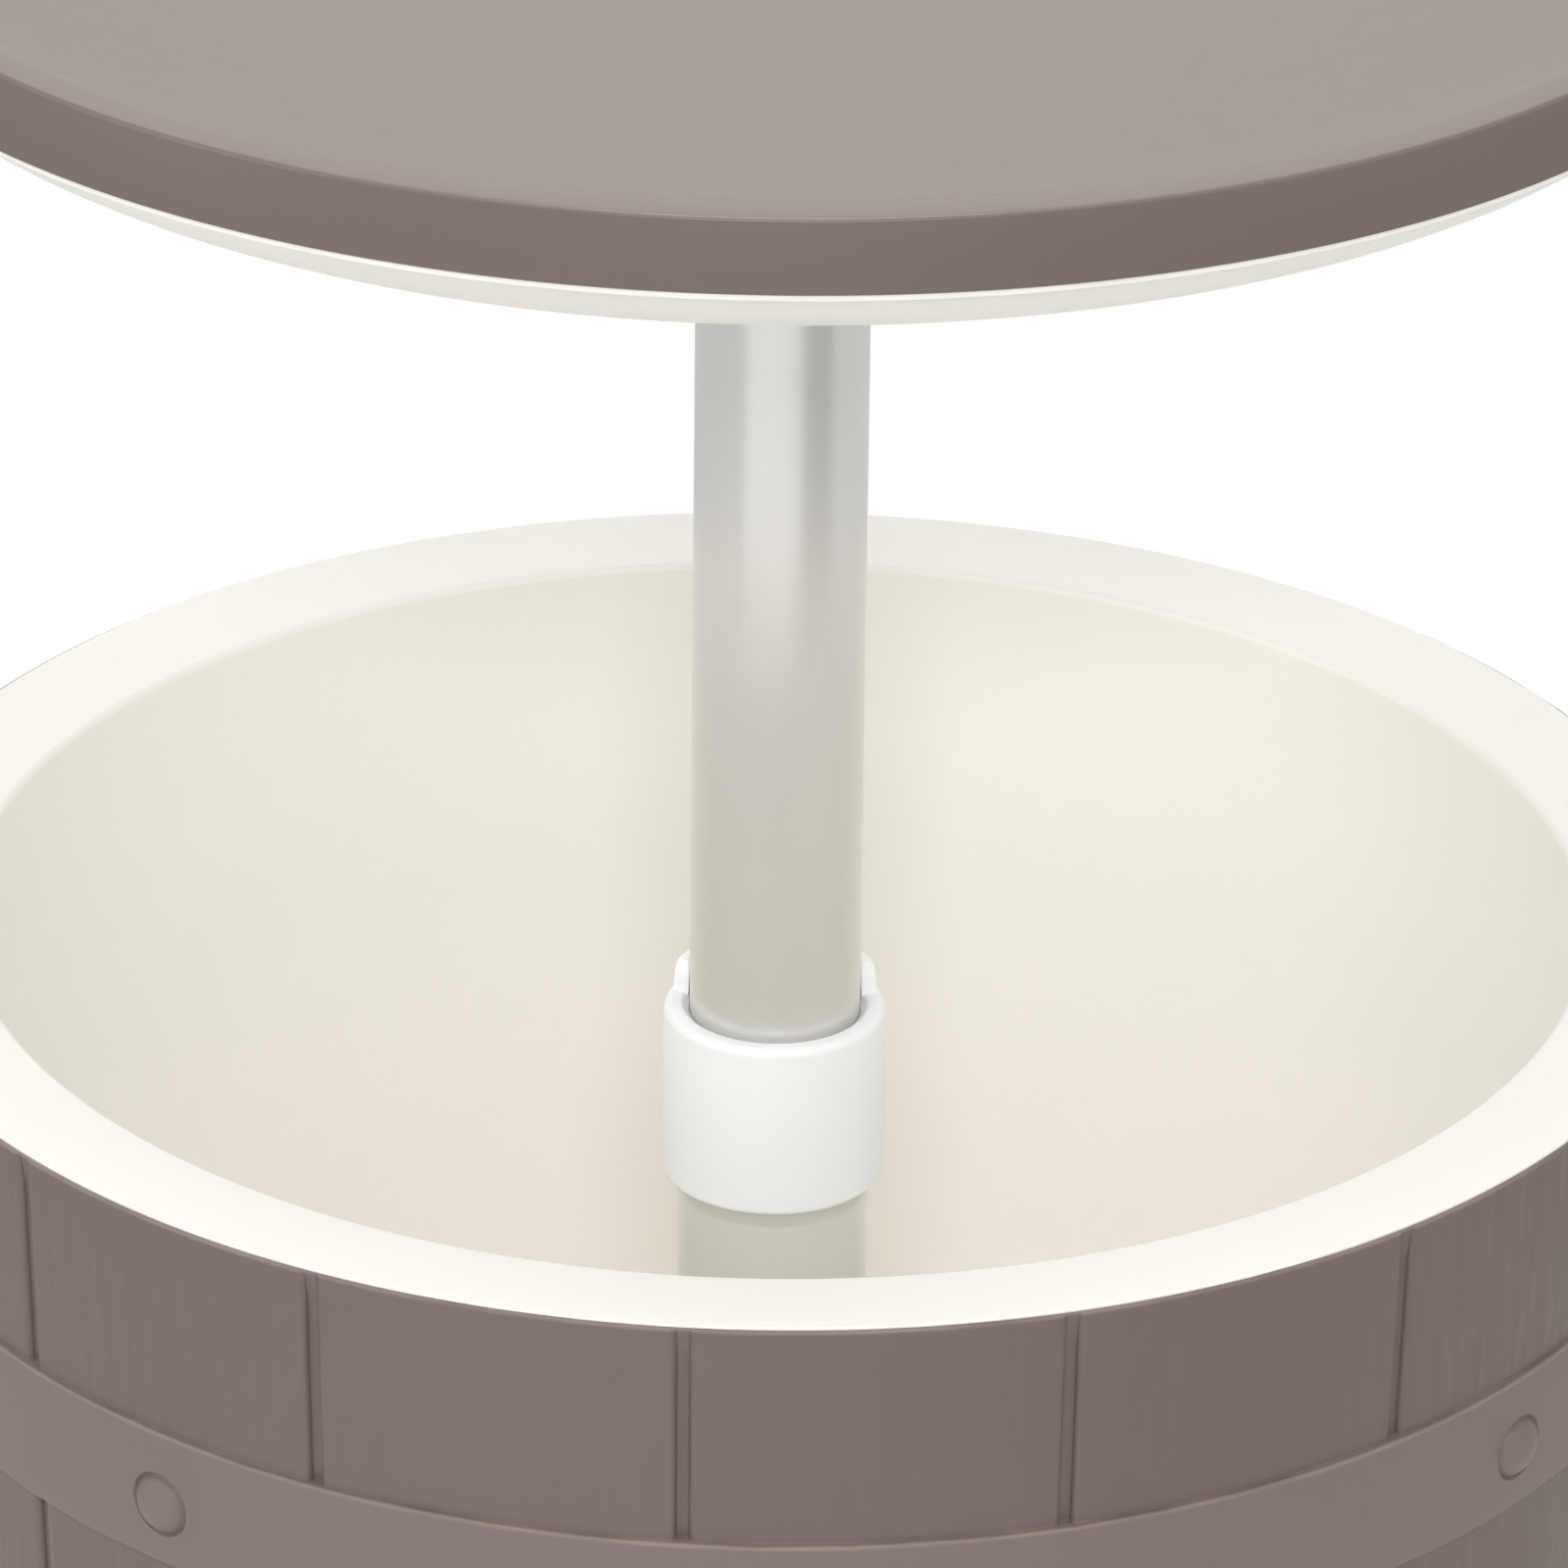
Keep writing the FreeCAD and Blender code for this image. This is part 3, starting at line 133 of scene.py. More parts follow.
def length_of(mat, vector):
    """Length of a vector."""
    node = add(mat, "ShaderNodeVectorMath", operation="LENGTH")
    link(mat, vector, node.inputs[0])
    return node.outputs["Value"]


def noise(mat, vector, scale, detail=3.0, roughness=0.5):
    """Cloudy noise between 0 and 1; scale is in clouds to the metre."""
    node = add(mat, "ShaderNodeTexNoise", Scale=scale, Detail=detail, Roughness=roughness)
    link(mat, vector, node.inputs["Vector"])
    return node.outputs["Fac"]


def spread(mat, value, low, high, out_low, out_high):
    """Value remapped from one range to another."""
    node = add(mat, "ShaderNodeMapRange", From_Min=low, From_Max=high, To_Min=out_low, To_Max=out_high)
    link(mat, value, node.inputs["Value"])
    return node.outputs["Result"]


def mixed(mat, factor, colour_a, colour_b):
    """Colour between two colours."""
    node = add(mat, "ShaderNodeMix", data_type="RGBA")
    link(mat, factor, node.inputs[0])
    for socket, colour in ((node.inputs[6], colour_a), (node.inputs[7], colour_b)):
        if isinstance(colour, tuple):
            socket.default_value = colour + (1.0,)
        else:
            link(mat, colour, socket)
    return node.outputs[2]


def bumped(mat, shader, height, depth, strength, soften=0.0):
    """Bump from a height between 0 and 1, depth in metres; soften rounds edges in the shading."""
    bump = add(mat, "ShaderNodeBump", Strength=strength, Distance=depth)
    link(mat, height, bump.inputs["Height"])
    if soften:
        bevel = add(mat, "ShaderNodeBevel", samples=6, Radius=soften)
        link(mat, bevel.outputs["Normal"], bump.inputs["Normal"])
    link(mat, bump.outputs["Normal"], shader.inputs["Normal"])


def sum_of(mat, *terms):
    """Weighted sum of sockets: (socket, weight), ..."""
    total = None
    for socket, weight in terms:
        part = maths(mat, "MULTIPLY", socket, weight)
        total = part if total is None else maths(mat, "ADD", total, part)
    return total


def distance_from(mat, value, number):
    """How far a value is from a number."""
    return maths(mat, "ABSOLUTE", maths(mat, "SUBTRACT", value, number))


def edge_highlight_mask(mat):
    """Mask for a painted highlight: towards 1 on convex edges."""
    point = add(mat, "ShaderNodeNewGeometry").outputs["Pointiness"]
    return spread(mat, point, 0.52, 0.55, 0.0, 1.0)


# Materials. Colours are linear; the tabletop has a painted highlight line at the radius given below.

TAUPE = (0.161, 0.120, 0.106)
TAUPE_DARK = (0.147, 0.110, 0.097)
# Lighter taupe for the painted highlight lines on the barrel.
TAUPE_HIGHLIGHT = tuple(c * 1.7 + 0.01 for c in TAUPE)
HOOP_TAUPE = (0.193, 0.146, 0.129)
HOOP_DARK = (0.179, 0.135, 0.119)
HIGHLIGHT_RING = 0.2352


def moulded_plastic(name, colour, shade, roughness, grain, soften=0.0, specular=0.5, edge_highlight=0.35,
                    mottle=0.05, ring=0.0):
    """Injection-moulded plastic: faint mottling, fine orange-peel texture and a painted highlight on
    convex edges.

    The grain is the texture's depth in metres; the painted edge highlight has the given strength, and ring
    is the radius of a painted highlight line or 0.
    """
    mat, shader, _ = new_material(name)
    spot = place(mat)
    broad = noise(mat, spot, scale=9.0, detail=4.0)
    fine = noise(mat, spot, scale=160.0, roughness=0.6)
    peel = noise(mat, spot, scale=900.0, detail=2.0)
    tone = mixed(mat, sum_of(mat, (broad, 0.7), (fine, 0.3)), colour, shade)
    # Painted highlight: a lighter colour on convex edges, with the given strength.
    lighter = tuple(min(1.0, c * 1.12 + 0.01) for c in colour)
    painted_highlight = maths(mat, "MULTIPLY", edge_highlight_mask(mat), edge_highlight)
    # Painted highlight: a lighter line at radius ring, inside the tabletop's rim.
    if ring:
        flat = add(mat, "ShaderNodeVectorMath", operation="MULTIPLY")
        flat.inputs[1].default_value = (1.0, 1.0, 0.0)
        link(mat, spot, flat.inputs[0])
        off = distance_from(mat, length_of(mat, flat.outputs["Vector"]), ring)
        painted_highlight = maths(mat, "MAXIMUM", painted_highlight, spread(mat, off, 0.0006, 0.0022, 0.8, 0.0))
    link(mat, mixed(mat, painted_highlight, tone, lighter), shader.inputs["Base Color"])
    polish = spread(mat, fine, 0.3, 0.7, roughness - mottle, roughness + mottle)
    link(mat, polish, shader.inputs["Roughness"])
    shader.inputs["Specular IOR Level"].default_value = specular
    bumped(mat, shader, sum_of(mat, (fine, 0.5), (peel, 0.5)), grain, 0.6, soften)
    return mat


def stave_plastic():
    """Taupe moulding with wood grain that runs down each stave, and clean hoops."""
    mat, shader, _ = new_material("stave_plastic")
    spot = place(mat)
    x, y, z = split(mat, spot)
    angle = maths(mat, "ARCTAN2", y, x)
    around = maths(mat, "MULTIPLY", angle, SHELL_RADIUS)
    stave = maths(mat, "FLOOR", maths(mat, "MULTIPLY", angle, STAVES / (2 * math.pi)))
    chance = add(mat, "ShaderNodeTexWhiteNoise", noise_dimensions="1D")
    link(mat, stave, chance.inputs["W"])
    luck = chance.outputs["Value"]
    # Grain: noise squeezed along the stave, shifted from stave to stave and slightly wavy.
    wave = noise(mat, spot, scale=14.0, detail=2.0)
    across = maths(mat, "ADD", around, maths(mat, "MULTIPLY", wave, 0.010))
    lines = add(mat, "ShaderNodeCombineXYZ")
    link(mat, across, lines.inputs[0])
    link(mat, maths(mat, "MULTIPLY", z, 0.045), lines.inputs[1])
    link(mat, maths(mat, "MULTIPLY", luck, 3.0), lines.inputs[2])
    coarse = noise(mat, lines.outputs[0], scale=150.0, detail=2.0)
    thin = noise(mat, lines.outputs[0], scale=520.0, detail=2.0)
    broad = noise(mat, spot, scale=8.0)
    peel = noise(mat, spot, scale=1000.0, detail=2.0)
    tone = mixed(mat, sum_of(mat, (broad, 0.45), (coarse, 0.35), (luck, 0.2)), TAUPE_DARK, TAUPE)
    half = HOOP_HEIGHT / 2
    hoop = sum_of(mat, *((maths(mat, "COMPARE", z, low + half, within=half), 1.0) for low in HOOPS))
    tone = mixed(mat, hoop, tone, mixed(mat, broad, HOOP_DARK, HOOP_TAUPE))
    # Painted highlight along the upper edges of the hoops and of the staves, broken up by noise.
    painted_highlight = None
    for edge in [low + HOOP_HEIGHT - 0.0002 for low in HOOPS] + [LIP_TOP]:
        line = spread(mat, distance_from(mat, z, edge), 0.0003, 0.0011, 1.0, 0.0)
        painted_highlight = line if painted_highlight is None else maths(mat, "MAXIMUM", painted_highlight, line)
    patchy = spread(mat, noise(mat, spot, scale=30.0, detail=2.0), 0.35, 0.6, 0.35, 0.85)
    painted_highlight = maths(mat, "MULTIPLY", painted_highlight, patchy)
    link(mat, mixed(mat, painted_highlight, tone, TAUPE_HIGHLIGHT), shader.inputs["Base Color"])
    # The hoops have no grain.
    bare = maths(mat, "SUBTRACT", 1.0, hoop)
    streaks = sum_of(mat, (maths(mat, "MULTIPLY", thin, bare), 1.0), (hoop, 0.5))
    link(mat, spread(mat, streaks, 0.3, 0.7, 0.44, 0.58), shader.inputs["Roughness"])
    shader.inputs["Specular IOR Level"].default_value = 0.45
    grain = maths(mat, "MULTIPLY", sum_of(mat, (coarse, 0.80), (thin, 0.20)), bare)
    bumped(mat, shader, sum_of(mat, (grain, 0.92), (peel, 0.08)), 0.00024, 0.8)
    return mat


def satin_tube():
    """Anodised tube: fine drawing marks along it and a faintly cloudy tone."""
    mat, shader, _ = new_material("satin_tube")
    spot = place(mat)
    x, y, z = split(mat, spot)
    lines = add(mat, "ShaderNodeCombineXYZ")
    link(mat, maths(mat, "MULTIPLY", maths(mat, "ARCTAN2", y, x), TUBE_RADIUS), lines.inputs[0])
    link(mat, maths(mat, "MULTIPLY", z, 0.02), lines.inputs[1])
    drawn = noise(mat, lines.outputs[0], scale=1500.0, detail=2.0, roughness=0.6)
    cloud = noise(mat, spot, scale=22.0)
    tone = mixed(mat, sum_of(mat, (cloud, 0.6), (drawn, 0.4)), (0.70, 0.69, 0.665), (0.76, 0.75, 0.73))
    link(mat, tone, shader.inputs["Base Color"])
    shader.inputs["Metallic"].default_value = 0.65
    link(mat, spread(mat, drawn, 0.2, 0.8, 0.285, 0.305), shader.inputs["Roughness"])
    bumped(mat, shader, drawn, 0.000004, 0.4)
    return mat


def rubber():
    """Black moulded rubber with dust in its grain."""
    mat, shader, _ = new_material("black_rubber")
    spot = place(mat)
    broad = noise(mat, spot, scale=25.0, detail=4.0)
    fine = noise(mat, spot, scale=1300.0, detail=2.0, roughness=0.6)
    tone = mixed(mat, broad, (0.018, 0.018, 0.018), (0.045, 0.044, 0.042))
    link(mat, tone, shader.inputs["Base Color"])
    link(mat, spread(mat, fine, 0.3, 0.7, 0.62, 0.8), shader.inputs["Roughness"])
    bumped(mat, shader, fine, 0.00008, 0.7, 0.0005)
    return mat


def plated_steel():
    """Zinc-plated steel with cloudy plating."""
    mat, shader, _ = new_material("plated_steel")
    spot = place(mat)
    cloud = noise(mat, spot, scale=120.0, detail=4.0)
    fine = noise(mat, spot, scale=1800.0, detail=2.0)
    link(mat, mixed(mat, cloud, (0.52, 0.52, 0.50), (0.70, 0.70, 0.68)), shader.inputs["Base Color"])
    shader.inputs["Metallic"].default_value = 1.0
    link(mat, spread(mat, cloud, 0.3, 0.7, 0.28, 0.42), shader.inputs["Roughness"])
    bumped(mat, shader, fine, 0.00002, 0.5, 0.0003)
    return mat


taupe_shell = stave_plastic()
taupe_top = moulded_plastic("taupe_top", (0.142, 0.106, 0.093), (0.138, 0.103, 0.091), roughness=0.42,
                            grain=0.00001, specular=0.6, edge_highlight=0.0, mottle=0.006, ring=HIGHLIGHT_RING)
lid_cream = moulded_plastic("lid_cream", (0.84, 0.815, 0.755), (0.825, 0.80, 0.74), roughness=0.42,
                            grain=0.00003, soften=0.0008)
cream = moulded_plastic("cream_plastic", (0.95, 0.928, 0.875), (0.935, 0.910, 0.855), roughness=0.42,
                        grain=0.00003, edge_highlight=0.0, mottle=0.03)
white = moulded_plastic("white_plastic", (0.93, 0.94, 0.955), (0.91, 0.92, 0.935), roughness=0.40,
                        grain=0.00004)
grey = moulded_plastic("grey_plastic", (0.16, 0.16, 0.155), (0.13, 0.13, 0.128), roughness=0.5,
                       grain=0.00005, soften=0.0006)
tube = satin_tube()
black = rubber()
steel = plated_steel()

NODE_MATERIALS = {
    taupe_shell: ["outer_shell"],
    taupe_top: ["table_top"],
    cream: ["cooler_liner"],
    lid_cream: ["lid_underside"],
    white: ["lock_collar", "drain_fitting", "drain_nut", "drain_pipe"],
    grey: ["base_plate", "clamp_collet", "tube_foot_plug", "guide_bush", "pole_end_plug", "top_socket"],
    tube: ["outer_tube", "inner_tube"],
    black: ["rubber_feet", "drain_washer", "tube_seal", "drain_plug"],
    steel: ["base_screws", "socket_screws", "lid_screws", "foot_bolt", "foot_washer", "socket_pin",
            "bush_ring"],
}
for material, names in NODE_MATERIALS.items():
    for name in names:
        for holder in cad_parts[name].material_slots:
            holder.material = material


# Meshes

def rounded(corners, steps=6):
    """Points of an outline; a corner is radius, height and its rounding."""
    points = []
    count = len(corners)
    for index, (x, y, fillet) in enumerate(corners):
        here = Vector((x, y))
        if not fillet:
            points.append(here)
            continue
        before = Vector(corners[index - 1][:2]) - here
        after = Vector(corners[(index + 1) % count][:2]) - here
        opening = before.angle(after)
        run = min(fillet / math.tan(opening / 2), before.length * 0.49, after.length * 0.49)
        radius = run * math.tan(opening / 2)
        start = here + before.normalized() * run
        end = here + after.normalized() * run
        inwards = (before.normalized() + after.normalized()).normalized()
        centre = here + inwards * (radius / math.sin(opening / 2))
        first = start - centre
        sweep = first.angle_signed(end - centre)
        for step in range(steps + 1):
            points.append(centre + Matrix.Rotation(-sweep * step / steps, 2) @ first)
    return points


def join_rings(bm, low, high):
    """Faces between two closed rings of as many vertices."""
    count = len(low)
    for step in range(count):
        following = (step + 1) % count
        bm.faces.new((low[step], low[following], high[following], high[step]))


def turn(bm, points, closed, middle=0.0, segments=256):
    """Faces of an outline turned about an upright at x = middle; returns the first and last ring."""
    rings = []
    for x, y in points:
        ring = []
        for step in range(segments):
            angle = 2 * math.pi * step / segments
            ring.append(bm.verts.new((middle + x * math.cos(angle), x * math.sin(angle), y)))
        rings.append(ring)
    pairs = list(zip(rings, rings[1:]))
    if closed:
        pairs.append((rings[-1], rings[0]))
    for low, high in pairs:
        join_rings(bm, low, high)
    return rings[0], rings[-1]


def new_object(name, bm):
    """Object in the scene with the faces of bm, which is freed."""
    mesh = bpy.data.meshes.new(name)
    bm.to_mesh(mesh)
    bm.free()
    thing = bpy.data.objects.new(name, mesh)
    bpy.context.scene.collection.objects.link(thing)
    return thing


def stand_for(name, bm, material, body, node, sharp=32.0):
    """Finish a mesh and let it stand for a CAD node; edges of more than sharp degrees stay sharp."""
    bmesh.ops.remove_doubles(bm, verts=bm.verts, dist=1e-6)
    bmesh.ops.recalc_face_normals(bm, faces=bm.faces)
    for face in bm.faces:
        face.smooth = True
    for edge in bm.edges:
        edge.smooth = edge.calc_face_angle(0.0) < math.radians(sharp)
    piece = new_object(name, bm)
    piece.data.materials.append(material)
    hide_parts(node)
    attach(piece, body)


def lathe(name, points, material, body, node, segments=256):
    """Closed outline turned about the pole, standing for a CAD node."""
    bm = bmesh.new()
    turn(bm, points, True, segments=segments)
    stand_for(name, bm, material, body, node)


# Clamp collar. The angles of the thumb tab are in degrees from the X axis.

COLLAR_BORE = 0.0271
COLLAR_FOOT_BORE = 0.0258
COLLAR_FOOT_HEIGHT = 0.006
COLLAR_MOUTH = 0.02256
COLLAR_FUNNEL = 0.0246
COLLAR_END = 0.005
TAB_MIDDLE = 95.0
TAB_HALF = 78.0
TAB_FOOT = 0.002
TAB_RISE = 0.0085
TAB_DROP = 0.006


def collar():
    """Collar with rounded outer edges and a softly rounded mouth."""
    lathe("lock_collar_round", rounded([
        (COLLAR_FOOT_BORE, COLLAR_LOW, 0.0006),
        (COLLAR_RADIUS, COLLAR_LOW, 0.0036),
        (COLLAR_RADIUS, COLLAR_TOP, 0.0030),
        (COLLAR_FUNNEL, COLLAR_TOP, 0.0014),
        (COLLAR_MOUTH, COLLAR_TOP - 0.0022, 0.0009),
        (COLLAR_MOUTH, COLLAR_TOP - COLLAR_END, 0.0004),
        (COLLAR_BORE, COLLAR_TOP - COLLAR_END, 0.0003),
        (COLLAR_BORE, COLLAR_LOW + COLLAR_FOOT_HEIGHT, 0.0003),
        (COLLAR_FOOT_BORE, COLLAR_LOW + COLLAR_FOOT_HEIGHT, 0.0003),
    ], steps=10), white, "collar", "lock_collar", segments=128)


def thumb_tab():
    """Curved tab on the back of the collar, with rounded top edges and ends that drop."""
    foot = COLLAR_TOP - TAB_FOOT
    outline = rounded([
        (0.0236, foot, 0),
        (0.0280, foot, 0),
        (0.0274, COLLAR_TOP + TAB_RISE, 0.0018),
        (0.0233, COLLAR_TOP + TAB_RISE, 0.0016),
    ])
    bm = bmesh.new()
    steps = 60
    rings = []
    for step in range(steps + 1):
        along = -1.0 + 2.0 * step / steps
        angle = math.radians(TAB_MIDDLE + TAB_HALF * along)
        drop = TAB_DROP * max(0.0, (abs(along) - 0.90) / 0.10) ** 3
        share = 1 - drop / (TAB_FOOT + TAB_RISE)
        rings.append([bm.verts.new((x * math.cos(angle), x * math.sin(angle), foot + (y - foot) * share))
                      for x, y in outline])
    for low, high in zip(rings, rings[1:]):
        join_rings(bm, low, high)
    bm.faces.new(rings[0])
    bm.faces.new(rings[-1][::-1])
    stand_for("collar_tab", bm, white, "collar", "lock_collar", sharp=40.0)


collar()
thumb_tab()


# Barrel shell: a grid of rows and columns with finer lines at the channels, hoops and rivets

CHANNEL_HALF = 0.0033
CHANNEL_EASE = 0.0018
CHANNEL_DEPTH = 0.0019
FAR_FROM_SEAM = 0.03
HOOP_RISE = 0.0014
HOOP_EASE = 0.0007
RIVET_UP = 0.0172
RIVET_RADIUS = 0.0076
RIVET_RISE = 0.0036
CREASE_WIDTH = 0.0013
CREASE_DEPTH = 0.0008
LIP_EASE = 0.0008
LIP_LOW = 0.5368
LIP_LEDGE = 0.240
LIP_THINNEST = 0.0002
LIP_START = 0.53
FOOT_TOP = 0.019
FOOT_LOW = 0.015
FOOT_REACH = 0.020
SHELL_LOW = 0.005

# Distances in millimetres from the middle of a rivet and of a channel at which the grid has lines.
RIVET_RINGS = [0, 1.4, 2.8, 4.2, 5.4, 6.2, 6.8, 7.2, 7.5, 7.65, 7.75, 8.0, 8.3, 8.6, 8.9, 10.0, 12.0]
CHANNEL_STEPS = [0, 0.8, 1.45, 1.5, 1.52, 1.58, 1.7, 1.9, 2.2, 2.6, 3.0, 3.3]

# Column: its angle, its distance from the nearest channel and its index across a rivet.
Column = namedtuple("Column", "angle from_seam index", defaults=(None,))

# Row: its height, the rise over the staves, the share of the channels' depth, its index up a rivet
# and whether it follows a hoop's uneven edge.
Row = namedtuple("Row", "height rise share index wavy", defaults=(0.0, 1.0, None, False))


def face_radius(z):
    """Radius of the staves at a height."""
    return SHELL_RADIUS - (SHELL_TOP - z) * WALL_SLOPE


def channel_dip(offset):
    """Depth of the channel between two staves: a flat floor and rounded edges."""
    reach = abs(offset)
    if reach >= CHANNEL_HALF:
        return 0.0
    along = min(1.0, (CHANNEL_HALF - reach) / CHANNEL_EASE)
    return CHANNEL_DEPTH * (1.0 - math.sqrt(1.0 - along * along))


def rivet_height(reach):
    """Height of a rivet head over the hoop: a dome in a narrow crease."""
    if reach < RIVET_RADIUS:
        return RIVET_RISE * (1.0 - (reach / RIVET_RADIUS) ** 2) ** 0.75
    if reach < RIVET_RADIUS + CREASE_WIDTH:
        return -CREASE_DEPTH * math.sin(math.pi * (reach - RIVET_RADIUS) / CREASE_WIDTH)
    return 0.0


def step_at(steps, index):
    """Distance in metres of a grid line from the middle, with the sign of its index."""
    return math.copysign(steps[abs(index)] / 1000.0, index)


def both_ways(steps):
    """Index and distance of the grid lines to either side of a middle."""
    count = len(steps) - 1
    return [(index, step_at(steps, index)) for index in range(-count, count + 1)]


def rivet_point(column, row):
    """Sideways and upward shift that lays a grid point on a circle round a rivet, and its height."""
    ring = max(abs(column), abs(row))
    reach = step_at(RIVET_RINGS, ring)
    if not 0 < ring < len(RIVET_RINGS) - 1:
        return 0.0, 0.0, rivet_height(reach)
    length = math.hypot(column, row)
    across = reach * column / length - step_at(RIVET_RINGS, column)
    up = reach * row / length - step_at(RIVET_RINGS, row)
    return across, up, rivet_height(reach)


def waviness(angle):
    """Slightly uneven edge of a moulded hoop."""
    waves = math.sin(23 * angle + 1.0) + 0.7 * math.sin(57 * angle + 2.0) + 0.6 * math.sin(131 * angle)
    return 0.00013 * waves


def shell_columns():
    """Columns of the grid all round the shell, in order; every second stave has rivets."""
    columns = []
    for stave in range(STAVES):
        seam = 2 * math.pi * stave / STAVES
        middle = seam + math.pi / STAVES
        following = middle + (middle - seam)
        for _, step in both_ways(CHANNEL_STEPS):
            columns.append(Column(seam + step / SHELL_RADIUS, step))
        for step in (0.010, 0.018, 0.026):
            columns.append(Column(seam + step / SHELL_RADIUS, step))
            columns.append(Column(following - step / SHELL_RADIUS, step))
        if stave % 2 == 0:
            for index, step in both_ways(RIVET_RINGS):
                columns.append(Column(middle + step / SHELL_RADIUS, FAR_FROM_SEAM, index))
        else:
            columns.append(Column(middle, FAR_FROM_SEAM))
    return sorted(columns, key=lambda column: column.angle)


def quarter(radius):
    """Offsets along and across of the points on a quarter circle."""
    turns = [math.radians(degrees) for degrees in range(0, 91, 15)]
    return [(radius * math.sin(angle), radius * math.cos(angle)) for angle in turns]


def hoop_rows(low):
    """Rows over a hoop: rounded edges at both ends and the rivets' lines between them."""
    high = low + HOOP_HEIGHT
    edge = [(HOOP_EASE - across, HOOP_RISE - HOOP_EASE + along) for along, across in quarter(HOOP_EASE)]
    rows = [Row(low, wavy=True), Row(low, share=0.0, wavy=True)]
    rows += [Row(low + up, rise, share=0.0, wavy=True) for up, rise in edge]
    rows += [Row(low + RIVET_UP + step, HOOP_RISE, 0.0, index) for index, step in both_ways(RIVET_RINGS)]
    rows += [Row(high - up, rise, share=0.0, wavy=True) for up, rise in reversed(edge)]
    rows += [Row(high, share=0.0, wavy=True), Row(high, wavy=True)]
    return rows


def shell_rows():
    """Rows of the grid from the shell's lower edge to its lip."""
    rows = [Row(z) for z in (SHELL_LOW, 0.02, 0.045)]
    rows += hoop_rows(HOOPS[0])
    rows += [Row(z) for z in (0.13, 0.18, 0.23, 0.28, 0.33, 0.38, 0.42)]
    rows += hoop_rows(HOOPS[1])
    rows += [Row(z) for z in (0.49, 0.505, 0.52, 0.53)]
    rows += [Row(LIP_TOP - LIP_EASE + along, across - LIP_EASE) for along, across in quarter(LIP_EASE)]
    return rows


def shell_vertex(bm, row, column):
    """Vertex of the shell's outer face."""
    across, up, height = 0.0, 0.0, 0.0
    if row.index is not None and column.index is not None:
        across, up, height = rivet_point(column.index, row.index)
    level = row.height + up + (waviness(column.angle) if row.wavy else 0.0)
    radius = face_radius(level) + row.rise + height - row.share * channel_dip(column.from_seam)
    if row.height > LIP_START:
        radius = max(radius, LIP_INSIDE + LIP_THINNEST)
    angle = column.angle + across / SHELL_RADIUS
    return bm.verts.new((radius * math.cos(angle), radius * math.sin(angle), level))


def barrel():
    """Shell with rounded staves, hoops with uneven edges, and rivet heads."""
    columns = shell_columns()
    bm = bmesh.new()
    grid = [[shell_vertex(bm, row, column) for column in columns] for row in shell_rows()]
    inside = [
        (LIP_INSIDE, LIP_TOP),
        (LIP_INSIDE, LIP_LOW),
        (LIP_LEDGE, LIP_LOW),
        (face_radius(FOOT_TOP) - SHELL_WALL, FOOT_TOP),
        (face_radius(FOOT_TOP) - FOOT_REACH, FOOT_TOP),
        (face_radius(FOOT_TOP) - FOOT_REACH, FOOT_LOW),
        (face_radius(FOOT_LOW) - SHELL_WALL, FOOT_LOW),
        (face_radius(SHELL_LOW) - SHELL_WALL, SHELL_LOW),
    ]
    for radius, z in inside:
        grid.append([bm.verts.new((radius * math.cos(column.angle), radius * math.sin(column.angle), z))
                     for column in columns])
    for low, high in zip(grid, grid[1:] + grid[:1]):
        join_rings(bm, low, high)
    stand_for("outer_shell_barrel", bm, taupe_shell, "tub", "outer_shell", sharp=40.0)


barrel()


# Basin, with a boss round the pole and a seat for the drain

FLAT_RADIUS = 0.150
FLOOR_RADIUS = 0.2058
FLOOR_ROUNDING = 0.024
SKIRT_OUTSIDE = 0.2381
SKIRT_INSIDE = 0.2356
SKIRT_LOW = 0.5230
BOSS_RADIUS = 0.033
BOSS_BORE = 0.0257
BOSS_TOP = 0.310
SEAT_RADIUS = 0.0223
SEAT_TOP = 0.286
SEAT_UNDER = 0.283
SEAT_OUTSIDE = 0.025
DRAIN_BORE = 0.0143


def plate(bm, *rings):
    """Flat faces between an outer ring of vertices and the rings inside it."""
    edges = []
    for ring in rings:
        for step, vertex in enumerate(ring):
            ends = (vertex, ring[(step + 1) % len(ring)])
            edges.append(bm.edges.get(ends) or bm.edges.new(ends))
    bmesh.ops.triangle_fill(bm, use_beauty=True, edges=edges)


